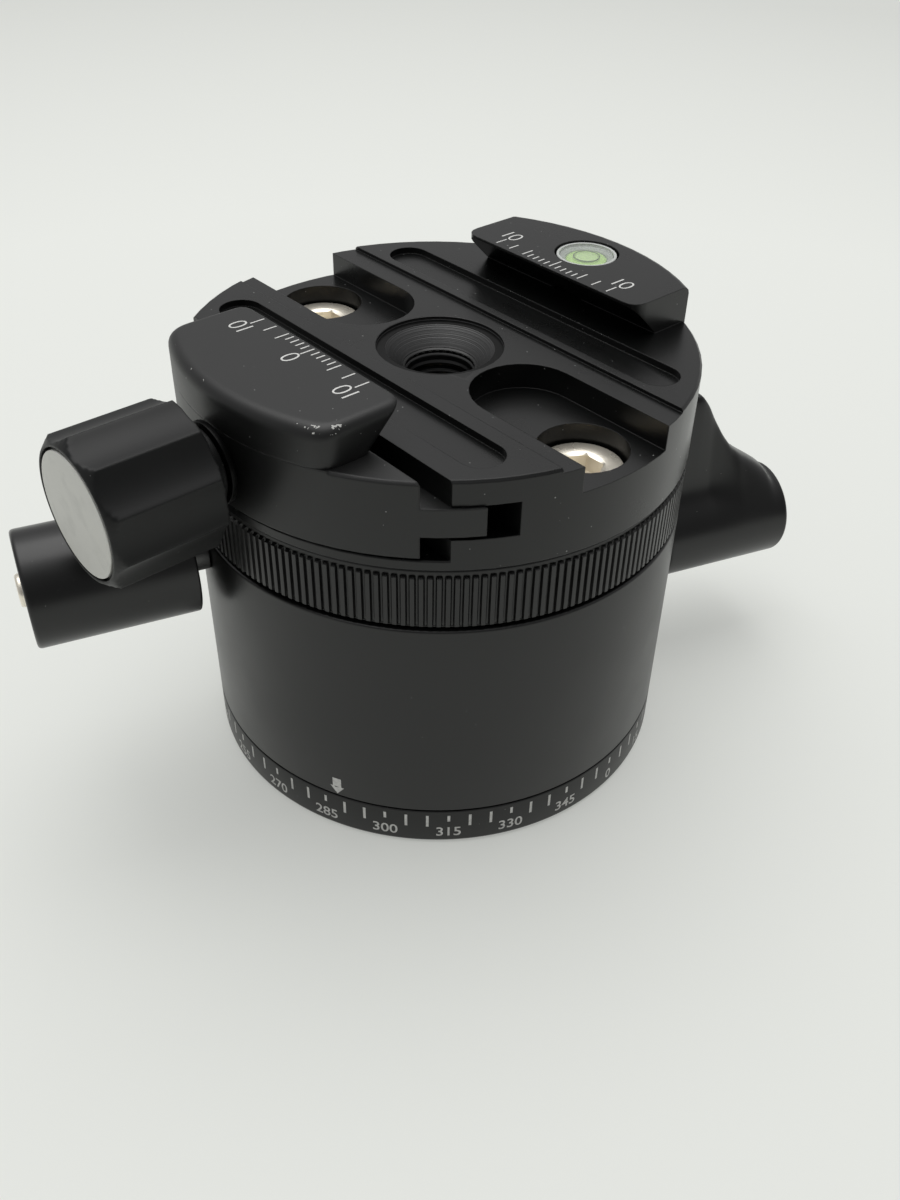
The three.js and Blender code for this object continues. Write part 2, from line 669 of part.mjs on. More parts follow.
function drumKey() {
  const bar = block(KEY_INNER, KEY_OUTER, -KEY_W / 2, KEY_W / 2, KEY_BOTTOM, KEY_TOP);
  return bar.rotate([0, 0, degrees(KEY_TURN)]);
}

function postScrew(turn) {
  const headBottom = FLANGE_TOP + GAP;
  const headTop = headBottom + POST_SCREW_HEAD_H;
  const head = rodOf(POST_SCREW_HEAD_R, headBottom, headTop);
  const shank = rodOf(POST_SCREW_R, POST_SCREW_FLOOR, headBottom + EDGE, TINY);
  const socket = hexagon(POST_SCREW_HEX_R, headTop - POST_SCREW_HEX_H, headTop + CUT);
  return standing(head.add(shank).subtract(socket), POST_SCREW_PITCH_R, turn);
}

function reducerBush() {
  const body = ringOf(REDUCER_BORE_R, REDUCER_R, SPIGOT_INSET, SPIGOT_INSET + REDUCER_H, SMALL);
  const halfW = REDUCER_SLOT_W / 2;
  const slotTop = SPIGOT_INSET + REDUCER_SLOT_H;
  return body.subtract(block(-BUSH_R, BUSH_R, -halfW, halfW, -CUT, slotTop));
}

function bearingCage() {
  const middle = (RACE_BOTTOM + RACE_TOP) / 2;
  const balls = turns(BALL_COUNT).map((turn) => (
    standing(solid(new THREE.IcosahedronGeometry(BALL_R)), (CAGE_BORE_R + CAGE_R) / 2, turn, middle)
  ));
  const cage = ringOf(CAGE_BORE_R, CAGE_R, middle - CAGE_H / 2, middle + CAGE_H / 2, MEDIUM);
  return joined([cage, ...balls]);
}

function postNut() {
  const halfW = NUT_SLOT_W / 2;
  const slot = block(NUT_R - NUT_SLOT_DEPTH, NUT_R + CUT, -halfW, halfW, NUT_BOTTOM - CUT, NUT_TOP + CUT);
  const slots = turns(NUT_SLOTS).map((turn) => slot.rotate([0, 0, degrees(turn)]));
  return ringOf(ON_POST_R, NUT_R, NUT_BOTTOM, NUT_TOP, MEDIUM).subtract(joined(slots));
}

function housing() {
  const shell = turned([
    [BODY_R - EDGE, HOUSING_BOTTOM],
    [BODY_R, HOUSING_BOTTOM + EDGE],
    [BODY_R, HOUSING_TOP - EDGE],
    [BODY_R - EDGE, HOUSING_TOP],
    [0, HOUSING_TOP],
    [0, HOUSING_BOTTOM],
  ]);
  const hollow = turned([
    [HOUSING_BORE_R, HOUSING_BOTTOM - CUT],
    [HOUSING_BORE_R, WEB_BOTTOM],
    [WEB_BORE_R - WEB_LIP_W, WEB_BOTTOM],
    [WEB_BORE_R - WEB_LIP_W, WEB_LIP_TOP],
    [WEB_BORE_R, WEB_LIP_TOP],
    [WEB_BORE_R, WEB_TOP],
    [NECK_BORE_R, WEB_TOP],
    [NECK_BORE_R, NECK_TOP + CUT],
    [0, NECK_TOP + CUT],
    [0, HOUSING_BOTTOM - CUT],
  ], MEDIUM);
  const halfW = PEG_SLOT_W / 2;
  const pegSlot = block(0, NECK_R + CUT, -halfW, halfW, PEG_SLOT_BOTTOM, NECK_TOP + CUT);
  const pegSlots = turns(PEG_COUNT).map((turn) => pegSlot.rotate([0, 0, degrees(turn)]));
  const screwHole = rodOf(CLAMP_SCREW_R + GAP, CLAMP_SCREW_END - GAP, NECK_TOP + CUT);
  const stemHole = rodOf(STEM_R + GAP, NECK_BORE_R - CUT, BODY_R + CUT);
  const bushHole = rodOf(LOCK_BUSH_R + GAP, LOCK_BUSH_START - GAP, BODY_R + CUT);
  return shell
    .add(rodOf(NECK_R, HOUSING_TOP - CUT, NECK_TOP, MEDIUM))
    .subtract(hollow)
    .subtract(joined(pegSlots))
    .subtract(screwHole.translate([0, -CLAMP_SCREW_Y, 0]))
    .subtract(screwHole.translate([0, CLAMP_SCREW_Y, 0]))
    .subtract(laid(stemHole, PLUNGER_TURN, PLUNGER_Z))
    .subtract(laid(bushHole, LEVER_TURN, LEVER_Z));
}

// The knurl's outline: flat lands with a V groove after each
function knurlShape() {
  const pitch = (2 * Math.PI) / KNURL_COUNT;
  const grooveMiddle = ((1 + KNURL_LAND_SHARE) / 2) * pitch;
  const points = turns(KNURL_COUNT).flatMap((turn) => [
    polar(BODY_R, turn),
    polar(BODY_R, turn + KNURL_LAND_SHARE * pitch),
    polar(BODY_R - KNURL_DEPTH, turn + grooveMiddle),
  ]);
  const shape = new THREE.Shape(points);
  shape.holes.push(new THREE.Path().absarc(0, 0, KNURL_ROOT_R, 0, 2 * Math.PI, true));
  return shape;
}

// The groove meets its peg at rest and falls as the ring is turned forward past it
function helicalGroove() {
  const halfW = PEG_SLOT_W / 2;
  const endTurn = halfW / RING_BORE_R;
  const rows = [];
  for (let i = 0; i <= GROOVE_STEPS; i += 1) {
    const share = i / GROOVE_STEPS;
    const angle = endTurn - (SELECT_TURN + 2 * endTurn) * share;
    const middle = PEG_Z - SELECT_TRAVEL * share;
    const inner = polar(RING_BORE_R - CUT, angle);
    const outer = polar(RING_BORE_R + GROOVE_DEPTH, angle);
    rows.push([
      [inner.x, inner.y, middle - halfW],
      [outer.x, outer.y, middle - halfW],
      [outer.x, outer.y, middle + halfW],
      [inner.x, inner.y, middle + halfW],
    ]);
  }
  return skinned(rows);
}

function selectorRing() {
  const knurl = plan(knurlShape(), RING_BOTTOM + KNURL_LOWER_LIP, RING_TOP - KNURL_UPPER_LIP);
  const core = ringOf(RING_BORE_R, RING_LIP_R, RING_BOTTOM, RING_TOP);
  const grooves = turns(PEG_COUNT).map((turn) => helicalGroove().rotate([0, 0, degrees(turn)]));
  return knurl.add(core).subtract(joined(grooves));
}

function shiftCollar() {
  const body = turned([
    [COLLAR_R, COLLAR_BOTTOM],
    [COLLAR_R, COLLAR_TOP],
    [COLLAR_BORE_R, COLLAR_TOP],
    [COLLAR_BORE_R, COLLAR_LIP_TOP],
    [COLLAR_LIP_R, COLLAR_LIP_TOP],
    [COLLAR_LIP_R, COLLAR_LIP_BOTTOM],
    [COLLAR_BORE_R, COLLAR_LIP_BOTTOM],
    [COLLAR_BORE_R, COLLAR_BOTTOM],
  ], MEDIUM);
  const holes = turns(PEG_COUNT).map((turn) => (
    laid(rodOf(PEG_R + GAP, PEG_START - GAP, COLLAR_R + CUT, TINY), turn, PEG_Z)
  ));
  return body.subtract(joined(holes));
}

// A band of V notches, the first of them in line with the plunger
function notchRow(count, middle) {
  const halfTurn = NOTCH_W / 2 / DRUM_R;
  const points = turns(count, PLUNGER_TURN).flatMap((turn) => [
    polar(DRUM_R, turn - halfTurn),
    polar(DRUM_R - NOTCH_DEPTH, turn),
    polar(DRUM_R, turn + halfTurn),
  ]);
  const shape = new THREE.Shape(points);
  shape.holes.push(new THREE.Path().absarc(0, 0, ROW_ROOT_R - CUT, 0, 2 * Math.PI, true));
  return plan(shape, middle - ROW_H / 2, middle + ROW_H / 2);
}

function indexDrum() {
  const core = turned([
    [ROW_ROOT_R, DRUM_BOTTOM],
    [ROW_ROOT_R, SHOULDER_BOTTOM],
    [DRUM_R, SHOULDER_BOTTOM],
    [DRUM_R, DRUM_SHOULDER],
    [DRUM_NECK_R, DRUM_SHOULDER],
    [DRUM_NECK_R, CLIP_GROOVE_BOTTOM],
    [CLIP_GROOVE_R, CLIP_GROOVE_BOTTOM],
    [CLIP_GROOVE_R, CLIP_GROOVE_TOP],
    [DRUM_NECK_R, CLIP_GROOVE_TOP],
    [DRUM_NECK_R, DRUM_TOP],
    [ON_POST_R, DRUM_TOP],
    [ON_POST_R, DRUM_RELIEF_TOP],
    [DRUM_RELIEF_R, DRUM_RELIEF_TOP],
    [DRUM_RELIEF_R, DRUM_BOTTOM],
  ], MEDIUM);
  const rows = ROW_COUNTS.map((count, row) => notchRow(count, FIRST_ROW_Z + row * SELECT_TRAVEL));
  const halfW = KEY_W / 2 + GAP;
  const keyway = block(0, KEY_OUTER + GAP, -halfW, halfW, DRUM_BOTTOM - CUT, DRUM_TOP + CUT);
  return core.add(joined(rows)).subtract(keyway.rotate([0, 0, degrees(KEY_TURN)]));
}

function drumClip() {
  const shape = new THREE.Shape();
  const start = CLIP_OPENING / 2;
  const end = 2 * Math.PI - start;
  shape.absarc(0, 0, CLIP_BORE_R + CLIP_W, start, end, false);
  shape.absarc(0, 0, CLIP_BORE_R, end, start, true);
  return plan(shape, CLIP_BOTTOM, CLIP_TOP);
}

function plungerSleeve() {
  return turned([
    [STEM_R, STEM_START],
    [STEM_R, SLEEVE_START],
    [SLEEVE_R, SLEEVE_START],
    [SLEEVE_R, SLEEVE_END],
    [SLEEVE_BORE_R, SLEEVE_END],
    [SLEEVE_BORE_R, SLEEVE_FLOOR],
    [STEM_BORE_R, SLEEVE_FLOOR],
    [STEM_BORE_R, STEM_START],
  ], SMALL);
}

function plungerCap() {
  return turned([
    [CAP_PLUG_R, CAP_PLUG_START],
    [CAP_PLUG_R, CAP_FLANGE_START],
    [SLEEVE_R, CAP_FLANGE_START],
    [SLEEVE_R, CAP_END],
    [CAP_BORE_R, CAP_END],
    [CAP_BORE_R, CAP_PLUG_START],
  ], SMALL);
}

function plungerPin() {
  return turned([
    [0, PIN_TIP_START],
    [PIN_TIP_R, PIN_TIP_START],
    [PIN_R, PIN_TIP_START + PIN_TIP_L],
    [PIN_R, PIN_COLLAR_START],
    [PIN_COLLAR_R, PIN_COLLAR_START],
    [PIN_COLLAR_R, PIN_COLLAR_END],
    [PIN_ROD_R, PIN_COLLAR_END],
    [PIN_ROD_R, PIN_ROD_END],
    [0, PIN_ROD_END],
  ], SMALL);
}

function plungerKnob() {
  const body = turned([
    [KNOB_R - KNOB_INNER_ROUND, KNOB_START],
    [KNOB_R, KNOB_START + KNOB_INNER_ROUND],
    [KNOB_R, KNOB_END - KNOB_ROUND],
    [KNOB_R - KNOB_ROUND_SHARE * KNOB_ROUND, KNOB_END - KNOB_ROUND_SHARE * KNOB_ROUND],
    [KNOB_R - KNOB_ROUND, KNOB_END],
    [0, KNOB_END],
    [0, KNOB_START],
  ], MEDIUM);
  return body
    .subtract(rodOf(KNOB_BORE_R, KNOB_START - CUT, KNOB_BORE_END))
    .subtract(rodOf(KNOB_HOLE_R, KNOB_BORE_END - CUT, KNOB_END + CUT))
    .subtract(rodOf(BUTTON_R + GAP, BUTTON_SEAT, KNOB_END + CUT));
}

function plungerScrew() {
  const head = turned([
    [0, BUTTON_BOTTOM],
    [BUTTON_R, BUTTON_BOTTOM],
    [BUTTON_R * BUTTON_EDGE_SHARE, (BUTTON_BOTTOM + BUTTON_TOP) / 2],
    [BUTTON_R * BUTTON_CROWN_SHARE, BUTTON_TOP],
    [0, BUTTON_TOP],
  ], SMALL);
  const shank = rodOf(PIN_ROD_R, BUTTON_SHANK_START, BUTTON_BOTTOM + EDGE, TINY);
  return head.add(shank).subtract(hexagon(BUTTON_HEX_R, BUTTON_TOP - BUTTON_HEX_H, BUTTON_TOP + CUT));
}

// One section of the lever: the tangent outline of the hub circle and the arm's tip circle
function leverOutline(hubR, reach, tipR) {
  const centre = Math.max(reach - tipR, 0);
  const lean = centre > hubR - tipR ? Math.asin((hubR - tipR) / centre) : Math.PI / 2;
  return turns(LEVER_SIDES).map((angle) => {
    const onTip = Math.sin(angle) > Math.sin(lean);
    const point = polar(onTip ? tipR : hubR, angle);
    return [point.x, point.y + (onTip ? centre : 0)];
  });
}

// The lever stands along Z here, with its arm towards +Y
function lockLever() {
  const rows = LEVER_SECTION_SHARES.map(([alongShare, reachShare, shrinkShare]) => {
    const hubR = LEVER_R * (1 - shrinkShare);
    const outline = leverOutline(hubR, LEVER_REACH * reachShare, Math.min(LEVER_TIP_R, hubR));
    return outline.map(([x, y]) => [x, y, LEVER_START + LEVER_L * alongShare]);
  });
  return skinned(rows)
    .subtract(rodOf(LEVER_BORE_R, LEVER_START - CUT, LEVER_BORE_END))
    .subtract(rodOf(LEVER_SCREW_R + GAP, LEVER_SCREW_START - GAP, LEVER_END + CUT));
}

function leverScrew() {
  const hexBottom = LEVER_SCREW_END - LEVER_SCREW_HEX_H;
  const socket = hexagon(LEVER_SCREW_HEX_R, hexBottom, LEVER_SCREW_END + CUT);
  return rodOf(LEVER_SCREW_R, LEVER_SCREW_START, LEVER_SCREW_END).subtract(socket);
}

function lockScrew() {
  return turned([
    [STUD_R, STUD_START],
    [STUD_R, STUD_END],
    [0, STUD_END],
    [0, STUD_BORE_END],
    [STUD_BORE_R, STUD_BORE_END],
    [STUD_BORE_R, STUD_START],
  ], SMALL);
}

function lockBush() {
  return turned([
    [LOCK_BUSH_R, LOCK_BUSH_START],
    [LOCK_BUSH_R, LOCK_BUSH_FLANGE_START],
    [LOCK_BUSH_FLANGE_R, LOCK_BUSH_FLANGE_START],
    [LOCK_BUSH_FLANGE_R, LOCK_BUSH_END],
    [LEVER_BORE_R, LOCK_BUSH_END],
    [LEVER_BORE_R, LOCK_BUSH_START],
  ], SMALL);
}

function lockShoe() {
  const halfW = SHOE_W / 2;
  const bottom = LEVER_Z - SHOE_H / 2;
  const top = LEVER_Z + SHOE_H / 2;
  const pad = block(SHOE_FACE_R - SHOE_SAG, SHOE_END, -halfW, halfW, bottom, top);
  const face = rodOf(SHOE_FACE_R, bottom - CUT, top + CUT, ROUND);
  const pip = laid(rodOf(SHOE_PIP_R, SHOE_END - GAP, SHOE_PIP_END), LEVER_TURN, LEVER_Z);
  return pad.subtract(face).rotate([0, 0, degrees(LEVER_TURN)]).add(pip);
}

// A round envelope with a softened top edge
function envelope(bottom, top, softness, steps = 1) {
  const points = [[BODY_R, bottom]];
  for (let i = 0; i <= steps; i += 1) {
    const angle = (Math.PI / 2) * (i / steps);
    points.push([
      BODY_R - softness * (1 - Math.cos(angle)),
      top - softness * (1 - Math.sin(angle)),
    ]);
  }
  points.push([0, top], [0, bottom]);
  return turned(points);
}

// A jaw's top block: a 45 degree face over the channel, and an outer side that follows the round body
function jawBlock(rootX, lipX, shift) {
  const outward = Math.sign(rootX);
  const farX = outward * (BODY_R + CUT);
  const reach = BODY_R + CUT;
  const outline = [
    [farX, DECK - CUT],
    [rootX, DECK - CUT],
    [rootX, DECK],
    [lipX, JAW_TOP - JAW_LIP_H],
    [lipX, JAW_TOP],
    [farX, JAW_TOP],
  ];
  const cornerX = lipX + outward * JAW_CORNER_R;
  const cornerY = JAW_HALF_W - JAW_CORNER_R;
  const shape = new THREE.Shape();
  shape.moveTo(farX, -JAW_HALF_W);
  shape.lineTo(cornerX, -JAW_HALF_W);
  shape.quadraticCurveTo(lipX, -JAW_HALF_W, lipX, -cornerY);
  shape.lineTo(lipX, cornerY);
  shape.quadraticCurveTo(lipX, JAW_HALF_W, cornerX, JAW_HALF_W);
  shape.lineTo(farX, JAW_HALF_W);
  return profile(outline, reach)
    .intersect(plan(shape, DECK - CUT, JAW_TOP + CUT, JAW_CORNER_STEPS))
    .intersect(envelope(DECK - CUT, JAW_TOP, JAW_ROUND, JAW_ROUND_STEPS).translate([shift, 0, 0]));
}

function reliefGroove(side) {
  const endY = Math.sqrt(BODY_R ** 2 - RELIEF_X ** 2) - RELIEF_INSET;
  const shape = new THREE.Shape();
  shape.absarc(side * RELIEF_X, endY, RELIEF_R, 0, Math.PI, false);
  shape.absarc(side * RELIEF_X, -endY, RELIEF_R, Math.PI, 2 * Math.PI, false);
  return plan(shape, DECK - RELIEF_DEPTH, DECK + CUT);
}

function screwPocket(side) {
  const shape = new THREE.Shape();
  shape.absarc(0, POCKET_Y, POCKET_R, Math.PI, 2 * Math.PI, false);
  shape.lineTo(POCKET_R, BODY_R + CUT);
  shape.lineTo(-POCKET_R, BODY_R + CUT);
  const pocket = plan(shape, POCKET_Z, DECK + CUT);
  const counterbore = rodOf(COUNTERBORE_R, COUNTERBORE_Z, POCKET_Z + CUT, MEDIUM);
  const hole = rodOf(CLAMP_SCREW_R + GAP, CLAMP_BOTTOM - CUT, COUNTERBORE_Z + CUT);
  const cut = pocket.add(counterbore.add(hole).translate([0, CLAMP_SCREW_Y, 0]));
  return side > 0 ? cut : cut.rotate([0, 0, 180]);
}

function countersink() {
  return turned([
    [SINK_BORE_R, CLAMP_BOTTOM - CUT],
    [SINK_BORE_R, SINK_BORE_Z],
    [SINK_STEP_R, SINK_STEP_Z],
    [SINK_R, BAND_Z],
    [SINK_R, DECK + CUT],
    [0, DECK + CUT],
    [0, CLAMP_BOTTOM - CUT],
  ], MEDIUM);
}

// The bores along X that the spindle and the jaw springs need, from one place to another
function alongX(body, y, z) {
  return body.rotate([0, 90, 0]).translate([0, y, z]);
}

function springBores() {
  const bore = rodOf(SPRING_BORE_R, SPRING_BORE_OUTER, SPRING_BORE_INNER, TINY);
  return alongX(bore, -JAW_SPRING_Y, JAW_SPRING_Z).add(alongX(bore, JAW_SPRING_Y, JAW_SPRING_Z));
}

function clampBody() {
  const reach = BODY_R + CUT;
  const deck = profile([
    [BODY_FACE_X, CLAMP_BOTTOM],
    [reach, CLAMP_BOTTOM],
    [reach, DECK],
    [BODY_FACE_X, DECK],
    [BODY_FACE_X, SLOT_TOP],
    [SLOT_END_X, SLOT_TOP],
    [SLOT_END_X, SLOT_BOTTOM],
    [BODY_FACE_X, SLOT_BOTTOM],
  ], reach);
  const spindleBore = rodOf(SPINDLE_BORE_R, BODY_FACE_X - CUT, SPINDLE_BORE_END);
  const vialSeat = rodOf(VIAL_R + GAP, VIAL_BOTTOM - GAP, JAW_TOP + CUT, MEDIUM);
  return deck
    .intersect(envelope(CLAMP_BOTTOM, DECK, EDGE))
    .add(envelope(CLAMP_BOTTOM, FLOOR_TOP, EDGE / 2))
    .add(jawBlock(FIXED_ROOT_X, FIXED_LIP_X, 0))
    .subtract(block(BAND_X0, BAND_X1, -reach, reach, BAND_Z, DECK + CUT))
    .subtract(reliefGroove(-1))
    .subtract(reliefGroove(1))
    .subtract(countersink())
    .subtract(screwPocket(-1))
    .subtract(screwPocket(1))
    .subtract(alongX(spindleBore, 0, SPINDLE_Z))
    .subtract(springBores())
    .subtract(vialSeat.translate([VIAL_X, 0, 0]));
}

function clampScrew(side) {
  const head = turned([
    [0, CLAMP_SCREW_HEAD_BOTTOM],
    [CLAMP_SCREW_HEAD_R, CLAMP_SCREW_HEAD_BOTTOM],
    [CLAMP_SCREW_HEAD_R, CLAMP_SCREW_HEAD_TOP - CLAMP_SCREW_HEAD_EDGE],
    [CLAMP_SCREW_HEAD_R - CLAMP_SCREW_HEAD_EDGE, CLAMP_SCREW_HEAD_TOP],
    [0, CLAMP_SCREW_HEAD_TOP],
  ], MEDIUM);
  const shank = rodOf(CLAMP_SCREW_R, CLAMP_SCREW_END, CLAMP_SCREW_HEAD_BOTTOM + EDGE);
  const hexBottom = CLAMP_SCREW_HEAD_TOP - CLAMP_SCREW_HEX_H;
  const socket = hexagon(CLAMP_SCREW_HEX_R, hexBottom, CLAMP_SCREW_HEAD_TOP + CUT);
  return head.add(shank).subtract(socket).translate([0, side * CLAMP_SCREW_Y, 0]);
}

function vialCup() {
  return turned([
    [0, VIAL_BOTTOM],
    [VIAL_R, VIAL_BOTTOM],
    [VIAL_R, VIAL_TOP],
    [VIAL_BORE_R, VIAL_TOP],
    [VIAL_BORE_R, VIAL_FLOOR],
    [0, VIAL_FLOOR],
  ], MEDIUM);
}

function vialPlug(bottom, top) {
  return rodOf(VIAL_FLUID_R, bottom, top, MEDIUM).translate([VIAL_X, 0, 0]);
}

function movableJaw() {
  const reach = BODY_R + CUT;
  const lower = profile([
    [-reach, JAW_BOTTOM],
    [JAW_FACE_X, JAW_BOTTOM],
    [JAW_FACE_X, TONGUE_BOTTOM],
    [TONGUE_END_X, TONGUE_BOTTOM],
    [TONGUE_END_X, TONGUE_TOP],
    [JAW_FACE_X, TONGUE_TOP],
    [JAW_FACE_X, DECK],
    [-reach, DECK],
  ], reach);
  const spindleBore = rodOf(SPINDLE_BORE_R, -reach - CUT, TONGUE_END_X + CUT);
  return lower
    .intersect(envelope(JAW_BOTTOM, DECK, EDGE).translate([JAW_SHIFT, 0, 0]))
    .add(jawBlock(JAW_FACE_X, JAW_LIP_X, JAW_SHIFT))
    .subtract(alongX(spindleBore, 0, SPINDLE_Z))
    .subtract(springBores());
}

function jawSpring(y) {
  const wire = coil(JAW_SPRING_R, JAW_SPRING_WIRE_R, JAW_SPRING_START, JAW_SPRING_END, JAW_SPRING_TURNS);
  return alongX(wire, y, JAW_SPRING_Z);
}

// The fluted knob stands along Z here, with Z as the distance from the pan axis
function clampKnob() {
  const body = turned([
    [BOSS_R, BOSS_START],
    [BOSS_R, FLUTED_START],
    [FLUTED_R - FLUTED_BACK_EDGE, FLUTED_START],
    [FLUTED_R, FLUTED_START + FLUTED_BACK_EDGE],
    [FLUTED_R, FLUTED_END - FLUTED_EDGE],
    [FLUTED_R - FLUTED_EDGE, FLUTED_END],
    [DISC_SEAT_R, FLUTED_END],
    [DISC_SEAT_R, DISC_SEAT_START],
    [0, DISC_SEAT_START],
    [0, KNOB_SPINDLE_BORE_END],
    [SPINDLE_BORE_R, KNOB_SPINDLE_BORE_END],
    [SPINDLE_BORE_R, BOSS_START],
  ], MEDIUM);
  const flute = rodOf(FLUTE_R, FLUTED_START - GAP, FLUTED_END + CUT);
  const flutes = turns(FLUTE_COUNT).map((turn) => standing(flute, FLUTE_PITCH_R, turn));
  return body.subtract(joined(flutes));
}

// Lays a knob piece along -X at the spindle's height
function onSpindle(body, turn = 0) {
  return body
    .rotate([0, 0, degrees(turn)])
    .rotate([0, -90, 0])
    .translate([0, 0, SPINDLE_Z]);
}

const group = new THREE.Group();

function place(name, body, color, roughness, metalness) {
  const material = new THREE.MeshStandardMaterial({ color, roughness, metalness });
  const mesh = new THREE.Mesh(surface(body), material);
  mesh.name = name;
  group.add(mesh);
}

const anodised = (name, body) => place(name, body, 0x2b2b2d, 0.5, 0.6);
const pale = (name, body) => place(name, body, 0xc9cbcc, 0.4, 0.9);
const steel = (name, body) => place(name, body, 0xb9bcc0, 0.25, 1);
const brass = (name, body) => place(name, body, 0xb08d4a, 0.35, 1);
const polymer = (name, body) => place(name, body, 0xd8d8d2, 0.6, 0);
const fluid = (name, body) => place(name, body, 0x9fd23c, 0.1, 0);

anodised('base_plate', basePlate());
anodised('dial_ring', dialRing());
anodised('center_post', centerPost());
steel('tripod_bush', ringOf(BUSH_BORE_R, BUSH_R, SPIGOT_INSET, BUSH_TOP, SMALL));
steel('reducer_bush', reducerBush());
turns(POST_SCREW_COUNT, POST_SCREW_START).forEach((turn, i) => {
  steel(`post_screw_${i + 1}`, postScrew(turn));
});
steel('bearing_spacer', ringOf(ON_POST_R, SPACER_R, SPACER_BOTTOM, SPACER_BOTTOM + SPACER_H, MEDIUM));
steel('bearing_inner_race', ringOf(ON_POST_R, INNER_RACE_R, RACE_BOTTOM, RACE_TOP, MEDIUM));
steel('bearing_outer_race', ringOf(OUTER_RACE_BORE_R, OUTER_RACE_R, RACE_BOTTOM, RACE_TOP, MEDIUM));
brass('bearing_cage', bearingCage());
steel('post_nut', postNut());
steel('drum_key', drumKey());

anodised('housing', housing());
anodised('selector_ring', selectorRing());
brass('shift_collar', shiftCollar());
turns(PEG_COUNT).forEach((turn, i) => {
  steel(`shift_peg_${i + 1}`, laid(rodOf(PEG_R, PEG_START, PEG_END, TINY), turn, PEG_Z));
});
steel('index_drum', indexDrum());
steel('drum_clip', drumClip());

const plungerSpring = coil(SPRING_R, SPRING_WIRE_R, SPRING_START, SPRING_END, SPRING_TURNS);
steel('plunger_sleeve', laid(plungerSleeve(), PLUNGER_TURN, PLUNGER_Z));
steel('plunger_cap', laid(plungerCap(), PLUNGER_TURN, PLUNGER_Z));
steel('plunger_pin', laid(plungerPin(), PLUNGER_TURN, PLUNGER_Z));
steel('plunger_spring', laid(plungerSpring, PLUNGER_TURN, PLUNGER_Z));
anodised('plunger_knob', laid(plungerKnob(), PLUNGER_TURN, PLUNGER_Z));
steel('plunger_screw', laid(plungerScrew(), PLUNGER_TURN, PLUNGER_Z));

anodised('lock_lever', laid(lockLever().rotate([0, 0, 90]), LEVER_TURN, LEVER_Z));
steel('lever_screw', laid(leverScrew(), LEVER_TURN, LEVER_Z));
steel('lock_screw', laid(lockScrew(), LEVER_TURN, LEVER_Z));
brass('lock_bush', laid(lockBush(), LEVER_TURN, LEVER_Z));
brass('lock_shoe', lockShoe());

anodised('clamp_body', clampBody());
steel('clamp_screw_near', clampScrew(-1));
steel('clamp_screw_far', clampScrew(1));
polymer('vial_cup', vialCup().translate([VIAL_X, 0, 0]));
fluid('vial_fluid', vialPlug(VIAL_FLOOR + GAP, VIAL_LENS_BOTTOM - GAP));
polymer('vial_lens', vialPlug(VIAL_LENS_BOTTOM, VIAL_TOP));

anodised('movable_jaw', movableJaw());
steel('jaw_spring_near', jawSpring(-JAW_SPRING_Y));
steel('jaw_spring_far', jawSpring(JAW_SPRING_Y));
steel('thrust_washer', onSpindle(ringOf(SPINDLE_BORE_R, WASHER_R, WASHER_START, WASHER_END, SMALL)));
anodised('clamp_knob', onSpindle(clampKnob(), FLUTE_TURN - Math.PI / 2));
pale('knob_disc', onSpindle(rodOf(DISC_R, DISC_START, DISC_END, MEDIUM)));
steel('clamp_spindle', alongX(rodOf(SPINDLE_R, SPINDLE_START, SPINDLE_END), 0, SPINDLE_Z));

export default group;
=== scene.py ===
# Panoramic rotator: a black anodised body on a dial base, with a click-stop ring and a dovetail clamp.
# Sizes are written in millimetres in the CAD frame and become metres where each mesh is made.
import math
import bmesh
import bpy
import numpy as np
from mathutils import Matrix, Vector


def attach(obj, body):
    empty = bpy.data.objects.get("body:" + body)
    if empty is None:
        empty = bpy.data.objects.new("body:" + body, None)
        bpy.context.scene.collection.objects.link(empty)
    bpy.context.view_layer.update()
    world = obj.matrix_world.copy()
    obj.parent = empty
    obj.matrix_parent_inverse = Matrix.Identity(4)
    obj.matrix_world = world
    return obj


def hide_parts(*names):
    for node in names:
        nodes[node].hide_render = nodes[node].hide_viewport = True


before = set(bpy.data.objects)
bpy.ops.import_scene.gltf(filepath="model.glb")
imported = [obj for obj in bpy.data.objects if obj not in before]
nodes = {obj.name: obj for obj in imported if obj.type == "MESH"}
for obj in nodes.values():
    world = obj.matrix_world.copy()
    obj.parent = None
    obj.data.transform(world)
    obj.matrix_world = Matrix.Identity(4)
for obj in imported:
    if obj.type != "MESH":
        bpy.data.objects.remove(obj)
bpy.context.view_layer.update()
scene = bpy.context.scene
scene.view_settings.view_transform = "Standard"

# A hand-held phone at arm's length: it looks down on the rotator from its near left, a little tilted.
# The place, turn and focal length are those that put the CAD body on its outline in the picture.
camera_at = Vector((-0.08637, -0.09952, 0.12105))
camera_aim = Vector((-0.01064, -0.01477, 0.030))
camera_roll = math.radians(1.22)
focal_pixels = 1161.2
picture_height = 1200
view = (camera_aim - camera_at).normalized()
level_right = view.cross(Vector((0, 0, 1))).normalized()
level_down = view.cross(level_right)
right = math.cos(camera_roll) * level_right - math.sin(camera_roll) * level_down
down = math.sin(camera_roll) * level_right + math.cos(camera_roll) * level_down
lens = bpy.data.cameras.new("phone")
lens.sensor_fit = "VERTICAL"
lens.sensor_height = 36
lens.lens = focal_pixels / picture_height * lens.sensor_height
lens.clip_start = 0.01
phone = bpy.data.objects.new("phone", lens)
phone.matrix_world = Matrix((right, -down, -view)).transposed().to_4x4()
phone.matrix_world.translation = camera_at
scene.collection.objects.link(phone)
scene.camera = phone

